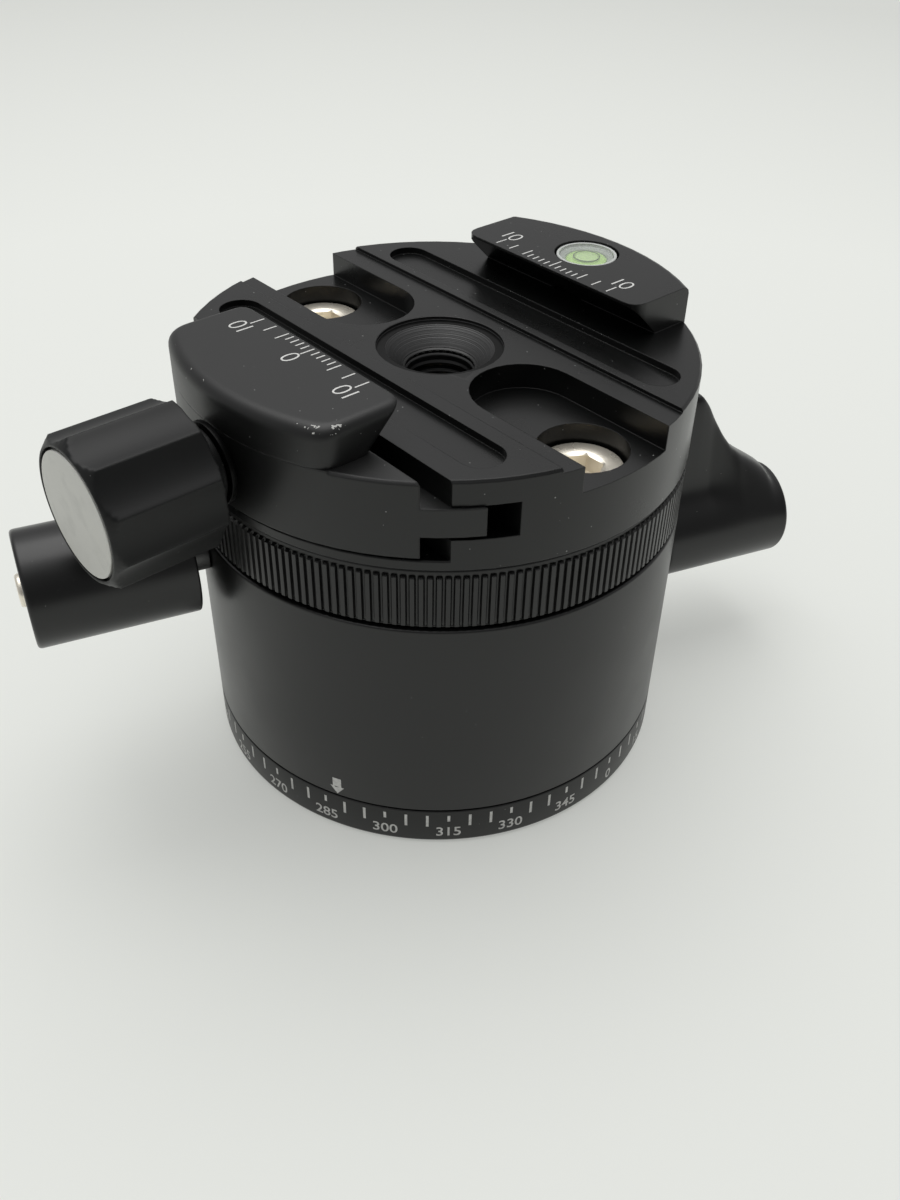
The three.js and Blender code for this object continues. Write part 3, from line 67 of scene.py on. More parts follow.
# White paper on a table in daylight: a bright sky light overhead, pale walls behind the rotator, and a dark
# side towards the holder of the phone. Far behind, the paper's colour and glow are painted darker, as painted
# shade. Where it is seen or mirrored, part of its tone is its own glow, which keeps its shades close to
# white.
paper = bpy.data.materials.new("paper")
paper.use_nodes = True
tree = paper.node_tree
shader = tree.nodes["Principled BSDF"]
shader.inputs["Roughness"].default_value = 0.9
shader.inputs["Specular IOR Level"].default_value = 0.1
shader.inputs["Emission Color"].default_value = (0.98, 1.0, 0.95, 1)
ray = tree.nodes.new("ShaderNodeLightPath")
glossy = tree.nodes.new("ShaderNodeMath")
glossy.operation = "MAXIMUM"
seen = tree.nodes.new("ShaderNodeMath")
seen.operation = "MAXIMUM"
lift = tree.nodes.new("ShaderNodeMath")
lift.operation = "MULTIPLY"
lift.inputs[1].default_value = 0.32
tint = tree.nodes.new("ShaderNodeMix")
tint.data_type = "RGBA"
tint.inputs["A"].default_value = (0.83, 0.84, 0.80, 1)
tint.inputs["B"].default_value = (0.51, 0.52, 0.50, 1)
tree.links.new(ray.outputs["Is Glossy Ray"], glossy.inputs[0])
tree.links.new(ray.outputs["Is Transmission Ray"], glossy.inputs[1])
tree.links.new(ray.outputs["Is Camera Ray"], seen.inputs[0])
tree.links.new(glossy.outputs[0], seen.inputs[1])
tree.links.new(seen.outputs[0], lift.inputs[0])
tree.links.new(seen.outputs[0], tint.inputs["Factor"])
place = tree.nodes.new("ShaderNodeTexCoord")
away = tree.nodes.new("ShaderNodeVectorMath")
away.operation = "LENGTH"
# Painted shade: from 0.2 to 0.5 m out from the rotator, the paper's colour and glow fall to 0.84 of
# themselves.
fall = tree.nodes.new("ShaderNodeMapRange")
fall.inputs["From Min"].default_value = 0.20
fall.inputs["From Max"].default_value = 0.50
fall.inputs["To Min"].default_value = 1.0
fall.inputs["To Max"].default_value = 0.84
far_shaded = tree.nodes.new("ShaderNodeVectorMath")
far_shaded.operation = "SCALE"
glow = tree.nodes.new("ShaderNodeMath")
glow.operation = "MULTIPLY"
tree.links.new(place.outputs["Object"], away.inputs[0])
tree.links.new(away.outputs["Value"], fall.inputs["Value"])
tree.links.new(tint.outputs["Result"], far_shaded.inputs[0])
tree.links.new(fall.outputs["Result"], far_shaded.inputs["Scale"])
tree.links.new(lift.outputs[0], glow.inputs[0])
tree.links.new(fall.outputs["Result"], glow.inputs[1])
tree.links.new(far_shaded.outputs[0], shader.inputs["Base Color"])
tree.links.new(glow.outputs[0], shader.inputs["Emission Strength"])
half_table = 3.0
table_mesh = bpy.data.meshes.new("table")
table_corners = half_table * np.array([(-1, -1, 0), (1, -1, 0), (1, 1, 0), (-1, 1, 0)])
table_mesh.from_pydata(table_corners, [], [(0, 1, 2, 3)])
table_mesh.materials.append(paper)
table = bpy.data.objects.new("table", table_mesh)
scene.collection.objects.link(table)

room = bpy.data.worlds.new("room")
room.use_nodes = True
scene.world = room
tree = room.node_tree
sky = tree.nodes["Background"]
place = tree.nodes.new("ShaderNodeTexCoord")


def towards(direction, stops):
    """A ramp of greys over how well a ray agrees with the direction: 1 is along it, 0 is square to it."""
    agreement = tree.nodes.new("ShaderNodeVectorMath")
    agreement.operation = "DOT_PRODUCT"
    agreement.inputs[1].default_value = direction
    ramp = tree.nodes.new("ShaderNodeValToRGB")
    first, last = ramp.color_ramp.elements
    first.position, first.color = stops[0][0], (*[stops[0][1]] * 3, 1)
    last.position, last.color = stops[-1][0], (*[stops[-1][1]] * 3, 1)
    for position, grey in stops[1:-1]:
        ramp.color_ramp.elements.new(position).color = (grey, grey, grey, 1)
    tree.links.new(place.outputs["Generated"], agreement.inputs[0])
    tree.links.new(agreement.outputs["Value"], ramp.inputs[0])
    return ramp.outputs[0]


sky_greys = [(0.0, 0.33), (0.60, 0.34), (0.70, 0.42), (0.80, 0.68), (0.88, 0.96), (1.0, 1.0)]
overhead = towards((0.097, 0.240, 0.966), sky_greys)
holder = towards((-0.300, -0.954, 0.0), [(0.20, 1.0), (0.85, 0.46)])
light = tree.nodes.new("ShaderNodeVectorMath")
light.operation = "MULTIPLY"
tree.links.new(overhead, light.inputs[0])
tree.links.new(holder, light.inputs[1])
tree.links.new(light.outputs[0], sky.inputs["Color"])
sky.inputs["Strength"].default_value = 1.3

window = bpy.data.lights.new("window", "AREA")
window.shape = "RECTANGLE"
window.size = 0.75
window.size_y = 0.75
window.energy = 2.9
window.color = (1.0, 0.995, 0.98)
window_at = Vector((0.09, 0.23, 0.92))
window_object = bpy.data.objects.new("window", window)
window_object.rotation_mode = "QUATERNION"
window_object.rotation_quaternion = (-window_at).to_track_quat("-Z", "Y")
window_object.location = window_at
scene.collection.objects.link(window_object)


# The dial ring is turned aluminium on the base plate, blasted and anodised black, 0.3 mm off the table. Its
# ticks stand every 5 degrees and its numbers every 15, in white.
def surface(name, points, finish, body, loop_u=False, loop_v=False, crease=35, stands_for=()):
    """Four-cornered faces over a grid of points in millimetres, u down the rows and v along them.
    Either way may close on itself. The signed volume, a third of the sum of each face's place times its
    area vector, tells which way the faces point, and they are turned outwards."""
    rows, columns = points.shape[:2]
    u, v = np.meshgrid(np.arange(rows - (not loop_u)), np.arange(columns - (not loop_v)), indexing="ij")
    after_u = (u + 1) % rows
    after_v = (v + 1) % columns
    corners = [u * columns + v, u * columns + after_v, after_u * columns + after_v, after_u * columns + v]
    faces = np.stack(corners, -1).reshape(-1, 4)
    flat = points.reshape(-1, 3) / 1000
    a, b, c, d = (flat[faces[:, i]] for i in range(4))
    if np.einsum("ij,ij->", (a + c) / 2, np.cross(c - a, d - b)) < 0:
        faces = faces[:, ::-1]
    mesh = bpy.data.meshes.new(name)
    mesh.from_pydata(flat.tolist(), [], faces.tolist())
    return finished(name, mesh, finish, body, crease, stands_for)


def finished(name, mesh, finish, body, crease=35, stands_for=()):
    """Welds a mesh's doubles, shades it smooth up to the crease angle and sets it on its CAD body."""
    shape = bmesh.new()
    shape.from_mesh(mesh)
    bmesh.ops.remove_doubles(shape, verts=shape.verts, dist=1e-7)
    shape.to_mesh(mesh)
    shape.free()
    mesh.shade_smooth()
    mesh.set_sharp_from_angle(angle=math.radians(crease))
    mesh.materials.append(finish)
    piece = bpy.data.objects.new(name, mesh)
    scene.collection.objects.link(piece)
    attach(piece, body)
    if stands_for:
        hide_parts(*stands_for)
    return piece


def softened(corners, steps=4, closed=True):
    """Rounds a profile. Each corner is (x, y, cut): it gives way to a parabola that starts and ends cut away
    from it along its two sides, (1-t)^2 before + 2t(1-t) corner + t^2 after."""
    corners = np.array(corners, float)
    at, cut = corners[:, :2], corners[:, 2:3]
    before, after = np.roll(at, 1, 0) - at, np.roll(at, -1, 0) - at
    if not closed:
        before[0], after[-1] = after[0], before[-1]
    start = at + before / np.linalg.norm(before, axis=1, keepdims=True) * cut
    end = at + after / np.linalg.norm(after, axis=1, keepdims=True) * cut
    t = np.linspace(0, 1, steps)[None, :, None]
    curve = (1 - t) ** 2 * start[:, None] + 2 * t * (1 - t) * at[:, None] + t**2 * end[:, None]
    line = curve.reshape(-1, 2)
    apart = np.linalg.norm(line - np.roll(line, 1, 0), axis=1) > 1e-6
    return line[apart]


def turned(profile, turns=256):
    """A profile of radius and height revolved round Z: (r cos a, r sin a, z)."""
    a = np.arange(turns) * 2 * np.pi / turns
    r, z = profile[:, :1], profile[:, 1:]
    return np.stack([r * np.cos(a), r * np.sin(a), z + 0 * a], -1)


def anodised(name, tone, roughness, grain_size=0.12, grain_depth=0.012, edge=0.16, dust=0.0, lathe=0.0,
             gloss=0.5):
    """Black anodised aluminium. Fine blasted grain and a cloudier tooth move the normal, the roughness drifts
    over the piece, edges turn over a small radius, and a few specks of pale dust lie on it. Lathe gives the
    depth of turning marks, a noise of the distance from the pan axis and the height alone."""
    finish = bpy.data.materials.new(name)
    finish.use_nodes = True
    tree = finish.node_tree
    shader = tree.nodes["Principled BSDF"]
    shader.inputs["Specular IOR Level"].default_value = gloss
    place = tree.nodes.new("ShaderNodeTexCoord")
    grain = tree.nodes.new("ShaderNodeTexNoise")
    grain.inputs["Scale"].default_value = 1000 / grain_size
    grain.inputs["Detail"].default_value = 3
    bump = tree.nodes.new("ShaderNodeBump")
    bump.inputs["Strength"].default_value = 0.5
    bump.inputs["Distance"].default_value = grain_depth / 1000
    tree.links.new(place.outputs["Object"], grain.inputs["Vector"])
    tree.links.new(grain.outputs["Fac"], bump.inputs["Height"])
    last = bump
    if lathe:
        split = tree.nodes.new("ShaderNodeSeparateXYZ")
        flat = tree.nodes.new("ShaderNodeCombineXYZ")
        length = tree.nodes.new("ShaderNodeVectorMath")
        length.operation = "LENGTH"
        marks = tree.nodes.new("ShaderNodeTexNoise")
        marks.noise_dimensions = "2D"
        marks.inputs["Scale"].default_value = 5500
        rings = tree.nodes.new("ShaderNodeCombineXYZ")
        groove = tree.nodes.new("ShaderNodeBump")
        groove.inputs["Strength"].default_value = 0.6
        groove.inputs["Distance"].default_value = lathe / 1000
        tree.links.new(place.outputs["Object"], split.inputs[0])
        tree.links.new(split.outputs["X"], flat.inputs["X"])
        tree.links.new(split.outputs["Y"], flat.inputs["Y"])
        tree.links.new(flat.outputs[0], length.inputs[0])
        tree.links.new(length.outputs["Value"], rings.inputs["X"])
        tree.links.new(split.outputs["Z"], rings.inputs["Y"])
        tree.links.new(rings.outputs[0], marks.inputs["Vector"])
        tree.links.new(marks.outputs["Fac"], groove.inputs["Height"])
        tree.links.new(bump.outputs["Normal"], groove.inputs["Normal"])
        last = groove
        around = tree.nodes.new("ShaderNodeTangent")
        around.direction_type = "RADIAL"
        around.axis = "Z"
        shader.inputs["Anisotropic"].default_value = 0.8
        tree.links.new(around.outputs[0], shader.inputs["Tangent"])
    if edge:
        rim = tree.nodes.new("ShaderNodeBevel")
        rim.samples = 4
        rim.inputs["Radius"].default_value = edge / 1000
        tree.links.new(rim.outputs["Normal"], bump.inputs["Normal"])
    tree.links.new(last.outputs["Normal"], shader.inputs["Normal"])
    cloud = tree.nodes.new("ShaderNodeTexNoise")
    cloud.inputs["Scale"].default_value = 130
    cloud.inputs["Detail"].default_value = 4
    drift = tree.nodes.new("ShaderNodeMapRange")
    drift.inputs["To Min"].default_value = roughness - 0.05
    drift.inputs["To Max"].default_value = roughness + 0.06
    tree.links.new(place.outputs["Object"], cloud.inputs["Vector"])
    tree.links.new(cloud.outputs["Fac"], drift.inputs["Value"])
    tree.links.new(drift.outputs["Result"], shader.inputs["Roughness"])
    shade = tree.nodes.new("ShaderNodeValToRGB")
    shade.color_ramp.elements[0].position = 0.3
    shade.color_ramp.elements[0].color = tuple(0.82 * c for c in tone) + (1,)
    shade.color_ramp.elements[1].position = 0.7
    shade.color_ramp.elements[1].color = tuple(1.15 * c for c in tone) + (1,)
    tree.links.new(cloud.outputs["Fac"], shade.inputs["Fac"])
    if dust:
        cells = tree.nodes.new("ShaderNodeTexVoronoi")
        cells.inputs["Scale"].default_value = 1000
        near = tree.nodes.new("ShaderNodeMath")
        near.operation = "LESS_THAN"
        picked = tree.nodes.new("ShaderNodeSeparateColor")
        size = tree.nodes.new("ShaderNodeMath")
        size.operation = "MULTIPLY_ADD"
        size.inputs[1].default_value = 0.20 * dust
        size.inputs[2].default_value = -0.10 * dust
        speck = tree.nodes.new("ShaderNodeMix")
        speck.data_type = "RGBA"
        speck.inputs["B"].default_value = (0.24, 0.245, 0.24, 1)
        tree.links.new(place.outputs["Object"], cells.inputs["Vector"])
        tree.links.new(cells.outputs["Color"], picked.inputs[0])
        tree.links.new(picked.outputs[0], size.inputs[0])
        tree.links.new(cells.outputs["Distance"], near.inputs[0])
        tree.links.new(size.outputs[0], near.inputs[1])
        tree.links.new(near.outputs[0], speck.inputs["Factor"])
        tree.links.new(shade.outputs["Color"], speck.inputs["A"])
        tree.links.new(speck.outputs["Result"], shader.inputs["Base Color"])
    else:
        tree.links.new(shade.outputs["Color"], shader.inputs["Base Color"])
    return finish


def filled(name, tone):
    """White paint: matt, a little uneven, and greyer where it is thin."""
    finish = bpy.data.materials.new(name)
    finish.use_nodes = True
    tree = finish.node_tree
    shader = tree.nodes["Principled BSDF"]
    shader.inputs["Roughness"].default_value = 0.6
    place = tree.nodes.new("ShaderNodeTexCoord")
    thin = tree.nodes.new("ShaderNodeTexNoise")
    thin.inputs["Scale"].default_value = 2500
    wear = tree.nodes.new("ShaderNodeValToRGB")
    wear.color_ramp.elements[0].position = 0.25
    wear.color_ramp.elements[0].color = tuple(0.8 * c for c in tone) + (1,)
    wear.color_ramp.elements[1].position = 0.55
    wear.color_ramp.elements[1].color = (*tone, 1)
    tree.links.new(place.outputs["Object"], thin.inputs["Vector"])
    tree.links.new(thin.outputs["Fac"], wear.inputs["Fac"])
    tree.links.new(wear.outputs["Color"], shader.inputs["Base Color"])
    return finish


def flat_mark(outlines):
    """Flat patches from outlines of equal length: an array of points and one face for each outline."""
    outlines = np.array(outlines, float)
    count, sides = outlines.shape[:2]
    return outlines.reshape(-1, 2), [tuple(range(i * sides, (i + 1) * sides)) for i in range(count)]


def figures(text, height, spacing=1.0, swell=0.012):
    """A number as a flat mesh of that height, centred on its own box. Swell makes its strokes bolder, or
    finer where it is below 0."""
    letters = bpy.data.curves.new("letters", "FONT")
    letters.body = text
    letters.space_character = spacing
    letters.offset = swell
    holder = bpy.data.objects.new("letters", letters)
    scene.collection.objects.link(holder)
    mesh = holder.to_mesh()
    points = np.zeros(len(mesh.vertices) * 3)
    mesh.vertices.foreach_get("co", points)
    points = points.reshape(-1, 3)[:, :2]
    faces = [tuple(p.vertices) for p in mesh.polygons]
    holder.to_mesh_clear()
    bpy.data.objects.remove(holder)
    low, high = points.min(0), points.max(0)
    return (points - (low + high) / 2) * height / (high[1] - low[1]), faces


def marks(name, patches, place, finish, body, slot):
    """Joins flat patches of points and faces into one piece. place turns a flat point into one in space."""
    counts = np.cumsum([0] + [len(points) for points, _ in patches])
    flat = np.concatenate([points for points, _ in patches])
    faces = []
    for (_, group), start in zip(patches, counts):
        faces += [tuple(i + start for i in face) for face in group]
    mesh = bpy.data.meshes.new(name)
    mesh.from_pydata((place(flat[:, 0], flat[:, 1]) / 1000).tolist(), [], faces)
    return finished(name, mesh, finish, body)


def painted(names, finish):
    """Gives CAD nodes that are kept as they are one finish."""
    for name in names:
        nodes[name].data.materials.clear()
        nodes[name].data.materials.append(finish)


body_r = 32.0
satin = anodised("satin_black", (0.0036, 0.0038, 0.0038), 0.38, dust=0.6)
white = filled("white_fill", (0.70, 0.70, 0.68))
dial = softened([(27.8, 0.3, 0.2), (body_r, 0.3, 0.5), (body_r, 6.0, 0.16), (27.8, 6.0, 0.2)])
surface("dial_ring_turned", turned(dial), satin, "base", True, True, 35, ["dial_ring"])

dial_zero = math.radians(-442.55)
tick_w, tick_top, tick_bottom, short_bottom = 0.36, 5.27, 3.17, 4.17
dial_number_h, number_z = 1.68, 2.22
paint = 0.012


def on_dial(along, z):
    """Wraps a flat pattern round the dial: the length along it over the radius is the angle."""
    a = along / body_r
    return np.stack([(body_r + paint) * np.cos(a), (body_r + paint) * np.sin(a), z], -1)


degrees = np.arange(0, 360, 5)
middle = (np.radians(degrees) + dial_zero) * body_r
bottom = np.where(degrees % 15 == 0, short_bottom, tick_bottom)
corner = np.array([(-1, 0), (1, 0), (1, 1), (-1, 1)])
tick_x = middle[:, None] + corner[:, 0] * tick_w / 2
tick_z = bottom[:, None] + corner[:, 1] * (tick_top - bottom[:, None])
patches = [flat_mark(np.stack([tick_x, tick_z], -1))]
for value in range(0, 360, 15):
    points, faces = figures(str(value), dial_number_h)
    patches.append((points + ((math.radians(value) + dial_zero) * body_r, number_z), faces))
marks("dial_marks", patches, on_dial, white, "base", "white_plastic")
painted(["base_plate", "center_post"], satin)

# The housing is one turned cylinder with a neck that the selector ring runs on. It is blasted and anodised,
# its wall is plain, and its lower rim carries a small white arrow over the dial.
wall = anodised("housing_black", (0.0034, 0.0036, 0.0036), 0.34, grain_size=0.10, grain_depth=0.010, dust=0.5)
housing = softened([
    (27.9, 6.3, 0.2), (body_r, 6.3, 0.14), (body_r, 36.4, 0.34), (29.2, 36.4, 0.1), (28.9, 36.7, 0.1),
    (28.9, 44.8, 0.2), (20.6, 44.8, 0.2), (20.6, 26.6, 0.2), (16.3, 26.6, 0.2), (16.3, 21.9, 0.2),
    (27.9, 21.9, 0.2)])
surface("housing_turned", turned(housing), wall, "rotor", True, True, 35, ["housing"])

# The index arrow that points down at the dial: a shaft and a head, flat white patches wrapped on the wall.
arrow_at = math.radians(-154.2) * body_r
arrow_tip, arrow_neck, arrow_top = 6.55, 7.85, 9.35
arrow_w, arrow_head_w = 1.22, 2.0
shaft = [(-arrow_w / 2, arrow_neck), (arrow_w / 2, arrow_neck), (arrow_w / 2, arrow_top),
         (-arrow_w / 2, arrow_top)]
head = [(-arrow_head_w / 2, arrow_neck), (0, arrow_tip), (arrow_head_w / 2, arrow_neck)]
arrow = [flat_mark([shaft]), flat_mark([head])]
marks("index_arrow", [(points + (arrow_at, 0), faces) for points, faces in arrow], on_dial, white, "rotor",
      "white_plastic")

# The ring that picks the click stops: 200 straight ridges rolled into turned aluminium, between a narrow
# lower lip and a plain upper one.
knurl_black = anodised("knurl_black", (0.0040, 0.0041, 0.0041), 0.34, grain_size=0.08, grain_depth=0.008,
                       edge=0)
ridges, ridge_samples = 200, 12
ring_bore, lip_r, land_r, root_r = 29.2, 31.55, 31.97, 31.50
knurl_z = [36.95, 37.15, 40.5, 43.8, 44.02]
phase = np.arange(ridges * ridge_samples) / ridge_samples % 1
rise = np.clip((0.5 - np.abs(phase - 0.5) - 0.14) / 0.12, 0, 1)
ridge = rise * rise * (3 - 2 * rise)
round_angle = np.arange(ridges * ridge_samples) * 2 * np.pi / (ridges * ridge_samples)
rows = [(ring_bore, 44.6, 0), (ring_bore, 36.9, 0), (ring_bore + 0.2, 36.7, 0), (lip_r - 0.2, 36.7, 0),
        (lip_r, 36.86, 0), (lip_r, knurl_z[0], 0), (root_r, knurl_z[0] + 0.02, 0.25), (root_r, knurl_z[1], 1),
        (root_r, knurl_z[2], 1), (root_r, knurl_z[3], 1), (root_r, knurl_z[4] - 0.02, 0.25),
        (lip_r - 0.05, knurl_z[4], 0), (lip_r - 0.05, 44.42, 0), (lip_r - 0.12, 44.6, 0),
        (lip_r - 0.4, 44.8, 0), (ring_bore + 0.2, 44.8, 0)]
rows = np.array(rows)
r = rows[:, :1] + rows[:, 2:] * (land_r - root_r) * ridge
ring = np.stack([r * np.cos(round_angle), r * np.sin(round_angle), rows[:, 1:2] + 0 * r], -1)
surface("selector_ring_knurled", ring, knurl_black, "ring", True, True, 50,
        ["selector_ring"])

# The fixed half of the dovetail clamp, milled from one block: deck, band, pockets, countersink, tongue slot
# and fixed jaw. It is blasted before it is anodised, so it is duller than the turned pieces.
milled = anodised("milled_black", (0.0024, 0.0027, 0.0026), 0.28, grain_size=0.14, grain_depth=0.014,
                  edge=0.17, dust=1.0, gloss=0.43)


def recut(name, node_name, finish, body, crease=32, top=None):
    """The CAD piece's own triangles, welded and with flat neighbours joined, so that smooth shading runs
    along curved walls. Each corner's normal is weighted by its faces' areas. Above the height top, if one is
    given, the copy is cut off and closed."""
    cad = nodes[node_name].data
    places = np.empty(len(cad.vertices) * 3)
    cad.vertices.foreach_get("co", places)
    corners = np.empty(len(cad.loops), int)
    cad.loops.foreach_get("vertex_index", corners)
    mesh = bpy.data.meshes.new(name)
    mesh.from_pydata(places.reshape(-1, 3).tolist(), [], corners.reshape(-1, 3).tolist())
    shape = bmesh.new()
    shape.from_mesh(mesh)
    bmesh.ops.remove_doubles(shape, verts=shape.verts, dist=2e-6)
    if top:
        bmesh.ops.bisect_plane(shape, geom=[*shape.verts, *shape.edges, *shape.faces], dist=1e-6,
                               plane_co=(0, 0, top / 1000), plane_no=(0, 0, 1))
        above = [face for face in shape.faces if face.calc_center_median().z > top / 1000 + 1e-5]
        bmesh.ops.delete(shape, geom=above, context="FACES")
        bmesh.ops.holes_fill(shape, edges=shape.edges, sides=0)
    bmesh.ops.dissolve_limit(shape, angle_limit=math.radians(1), verts=shape.verts, edges=shape.edges)
    shape.to_mesh(mesh)
    shape.free()
    piece = finished(name, mesh, finish, body, crease, [node_name])
    even = piece.modifiers.new("even_normals", "WEIGHTED_NORMAL")
    even.keep_sharp = True
    return piece


body_copy = recut("clamp_body_milled", "clamp_body", milled, "rotor")

# The hole in the middle is turned: a shallow counterbore, a cone for a screw's head, four rounds of thread.
# Its fine rings catch more light than the blasted deck. The copy's own chamfer steps back behind it.
bore_r, chamfer_r = 8.05, 6.60
for vertex in body_copy.data.vertices:
    from_axis = math.hypot(vertex.co.x, vertex.co.y) * 1000
    if abs(from_axis - chamfer_r) < 0.1 and vertex.co.z > 0.055:
        vertex.co = Vector((vertex.co.x * bore_r / from_axis, vertex.co.y * bore_r / from_axis, 0.055))
bored = anodised("bored_black", (0.0040, 0.0042, 0.0044), 0.38, grain_depth=0.004, edge=0, lathe=0.06,
                 gloss=0.9)
thread_pitch, thread_crest, thread_root = 1.25, 3.95, 4.12
hole = [(8.035, 55.98), (7.96, 55.92), (7.94, 55.55), (7.86, 55.47), (6.84, 55.45), (6.74, 55.38),
        (4.66, 53.30), (4.62, 53.12), (4.62, 52.92), (4.50, 52.80), (4.16, 52.44), (thread_root, 52.20)]
for turn_z in 51.8 - thread_pitch * np.arange(4):
    hole += [(thread_root, turn_z), (thread_crest, turn_z - 0.35), (thread_crest, turn_z - 0.5),
             (thread_root, turn_z - 0.85)]
hole += [(thread_root, 46.4), (4.33, 46.4), (4.33, 52.95), (7.90, 55.0), (8.035, 55.1)]
surface("centre_hole_turned", turned(np.array(hole), 192), bored, "rotor", True, True, 25)

# A flat, near-black ring with almost no gloss on the counterbore's floor: painted shade where the ledge lies
# in shadow.
step = softened([(6.80, 55.46, 0.02), (7.93, 55.48, 0.02), (7.93, 55.52, 0.02), (6.80, 55.50, 0.02)])
# Painted shade: a near-black finish with almost no gloss, for places that should read as shadow.
painted_shade_black = anodised("painted_shade_black", (0.0020, 0.0021, 0.0021), 0.30, grain_depth=0.004, edge=0, gloss=0.10)
surface("centre_hole_shade_ring", turned(step, 192), painted_shade_black, "rotor", True, True, 25)

# The fixed jaw's scale: short white lines to 10 mm either side of the middle, with a 10 at both ends.
scale_z = 61.2 + paint
line_w = 0.20
fine = [0] + [side * n for n in (1, 2, 3, 4, 5, 7.5, 10) for side in (-1, 1)]


def scale_lines(inner, lengths):
    """Scale lines across Y, from inner outwards by each line's own length. inner and lengths are along X."""
    y = np.array(fine)[:, None] + corner[:, 1] * line_w - line_w / 2
    x = inner + (corner[:, 0] > 0) * np.array(lengths)[:, None]
    return flat_mark(np.stack([x, y], -1))


def on_jaw(x, y):
    """Flat on the jaws' tops."""
    return np.stack([x, y, scale_z + 0 * x], -1)


def jaw_figure(text, x, y, height, turn):
    """A number on a jaw, its top turned to the given angle from +Y."""
    points, faces = figures(text, height, number_gap, -0.014)
    c, s = math.cos(turn), math.sin(turn)
    return points @ np.array([(c, s), (-s, c)]) + (x, y), faces


fixed_by_place = {0: 2.3, 5: 1.95, 7.5: 1.75, 10: 1.95}
fixed_lengths = [fixed_by_place.get(abs(v), 1.15) for v in fine]
outwards, inwards = math.radians(-90), math.radians(90)
number_h, number_gap = 2.35, 0.85
fixed_scale = [scale_lines(18.45, fixed_lengths), jaw_figure("10", 21.75, -10.0, number_h, outwards),
               jaw_figure("10", 21.75, 10.15, number_h, outwards)]
marks("fixed_jaw_scale", fixed_scale, on_jaw, white, "rotor", "white_plastic")

# The other half of the clamp slides on its tongue. It carries the same scale with its zero, and the corner
# that meets bags and plates first has lost flecks of its black. Its block is one rounded surface on the copy.
jaw_black = anodised("jaw_black", (0.0062, 0.0066, 0.0065), 0.42, grain_size=0.13, grain_depth=0.014,
                     edge=0.35, dust=0.9, gloss=0.47)
tree = jaw_black.node_tree
shader = tree.nodes["Principled BSDF"]
place = tree.nodes.new("ShaderNodeTexCoord")
reach = tree.nodes.new("ShaderNodeVectorMath")
reach.operation = "DISTANCE"
reach.inputs[1].default_value = (-0.0274, -0.0142, 0.0607)
harder = tree.nodes.new("ShaderNodeMapRange")
harder.inputs["From Min"].default_value = 0.0008
harder.inputs["From Max"].default_value = 0.0030
harder.inputs["To Min"].default_value = 0.53
harder.inputs["To Max"].default_value = 0.74
knocks = tree.nodes.new("ShaderNodeTexNoise")
knocks.inputs["Scale"].default_value = 1700
knocks.inputs["Detail"].default_value = 3
lost = tree.nodes.new("ShaderNodeMath")
lost.operation = "GREATER_THAN"
height = tree.nodes.new("ShaderNodeSeparateXYZ")
rim = tree.nodes.new("ShaderNodeMath")
rim.operation = "COMPARE"
rim.inputs[1].default_value = 0.06074
rim.inputs[2].default_value = 0.00034
fleck = tree.nodes.new("ShaderNodeMath")
fleck.operation = "MULTIPLY"
bared = tree.nodes.new("ShaderNodeMix")
bared.data_type = "RGBA"
bared.inputs["B"].default_value = (0.52, 0.52, 0.50, 1)
tree.links.new(place.outputs["Object"], reach.inputs[0])
tree.links.new(reach.outputs["Value"], harder.inputs["Value"])
tree.links.new(place.outputs["Object"], knocks.inputs["Vector"])
tree.links.new(knocks.outputs["Fac"], lost.inputs[0])
tree.links.new(harder.outputs["Result"], lost.inputs[1])
tree.links.new(place.outputs["Object"], height.inputs[0])
tree.links.new(height.outputs["Z"], rim.inputs[0])
tree.links.new(lost.outputs[0], fleck.inputs[0])
tree.links.new(rim.outputs[0], fleck.inputs[1])
tree.links.new(fleck.outputs[0], bared.inputs["Factor"])
tree.links.new(shader.inputs["Base Color"].links[0].from_socket, bared.inputs["A"])
tree.links.new(bared.outputs["Result"], shader.inputs["Base Color"])
# The block on top of the moving jaw is milled with it. Its rows are the outline at one height each, drawn in
# towards the top over three edge radii: the arc's, the ends' and the lip's.
block_floor, block_top, lip_x, lip_z = 56.5, 61.2, -18.28, 60.85
arc_middle, arc_round, end_y, end_round, lip_round = -0.65, 1.6, 15.5, 1.2, 0.2
recut("movable_jaw_milled", "movable_jaw", jaw_black, "jaw", top=block_floor)
block_rows = []
edge_turns = np.radians([0, 14, 28, 41, 51, 60, 68, 76, 83, 90])
for z in [block_floor, 58.0, *(block_top - arc_round * (1 - np.sin(edge_turns)))]:
    cut_arc, cut_end, cut_lip = (
        size - math.sqrt(size**2 - max(0, size - (block_top - z)) ** 2)
        for size in (arc_round, end_round, lip_round))
    lip = lip_x - max(0, lip_z - z) - cut_lip
    end = end_y - cut_end
    side = np.linspace(2.4 - end, end - 2.4, 25)
    y = np.concatenate([[-end], side, [end]])
    x = arc_middle - np.sqrt((body_r - cut_arc) ** 2 - y**2)
    cut = np.concatenate([[1.9], 0 * side, [1.9]])
    plan = [(lip, -end, 1.6), *zip(x, y, cut), (lip, end, 1.6)]
    flat = softened(plan, steps=8)
    block_rows.append(np.concatenate([flat, np.full((len(flat), 1), z)], 1))
block_rows = np.array(block_rows)
block_middle = np.array([-25.0, 0.0, 0.0])
inward = np.array([0.001, 0.001, 1])
tight = np.array([0.985, 0.985, 1])
block = np.concatenate([(block_rows[:1] - block_middle) * inward + block_middle, block_rows,
                        (block_rows[-1:] - block_middle) * tight + block_middle,
                        (block_rows[-1:] - block_middle) * inward + block_middle])
surface("movable_jaw_block", block, jaw_black, "jaw", False, True, 40)
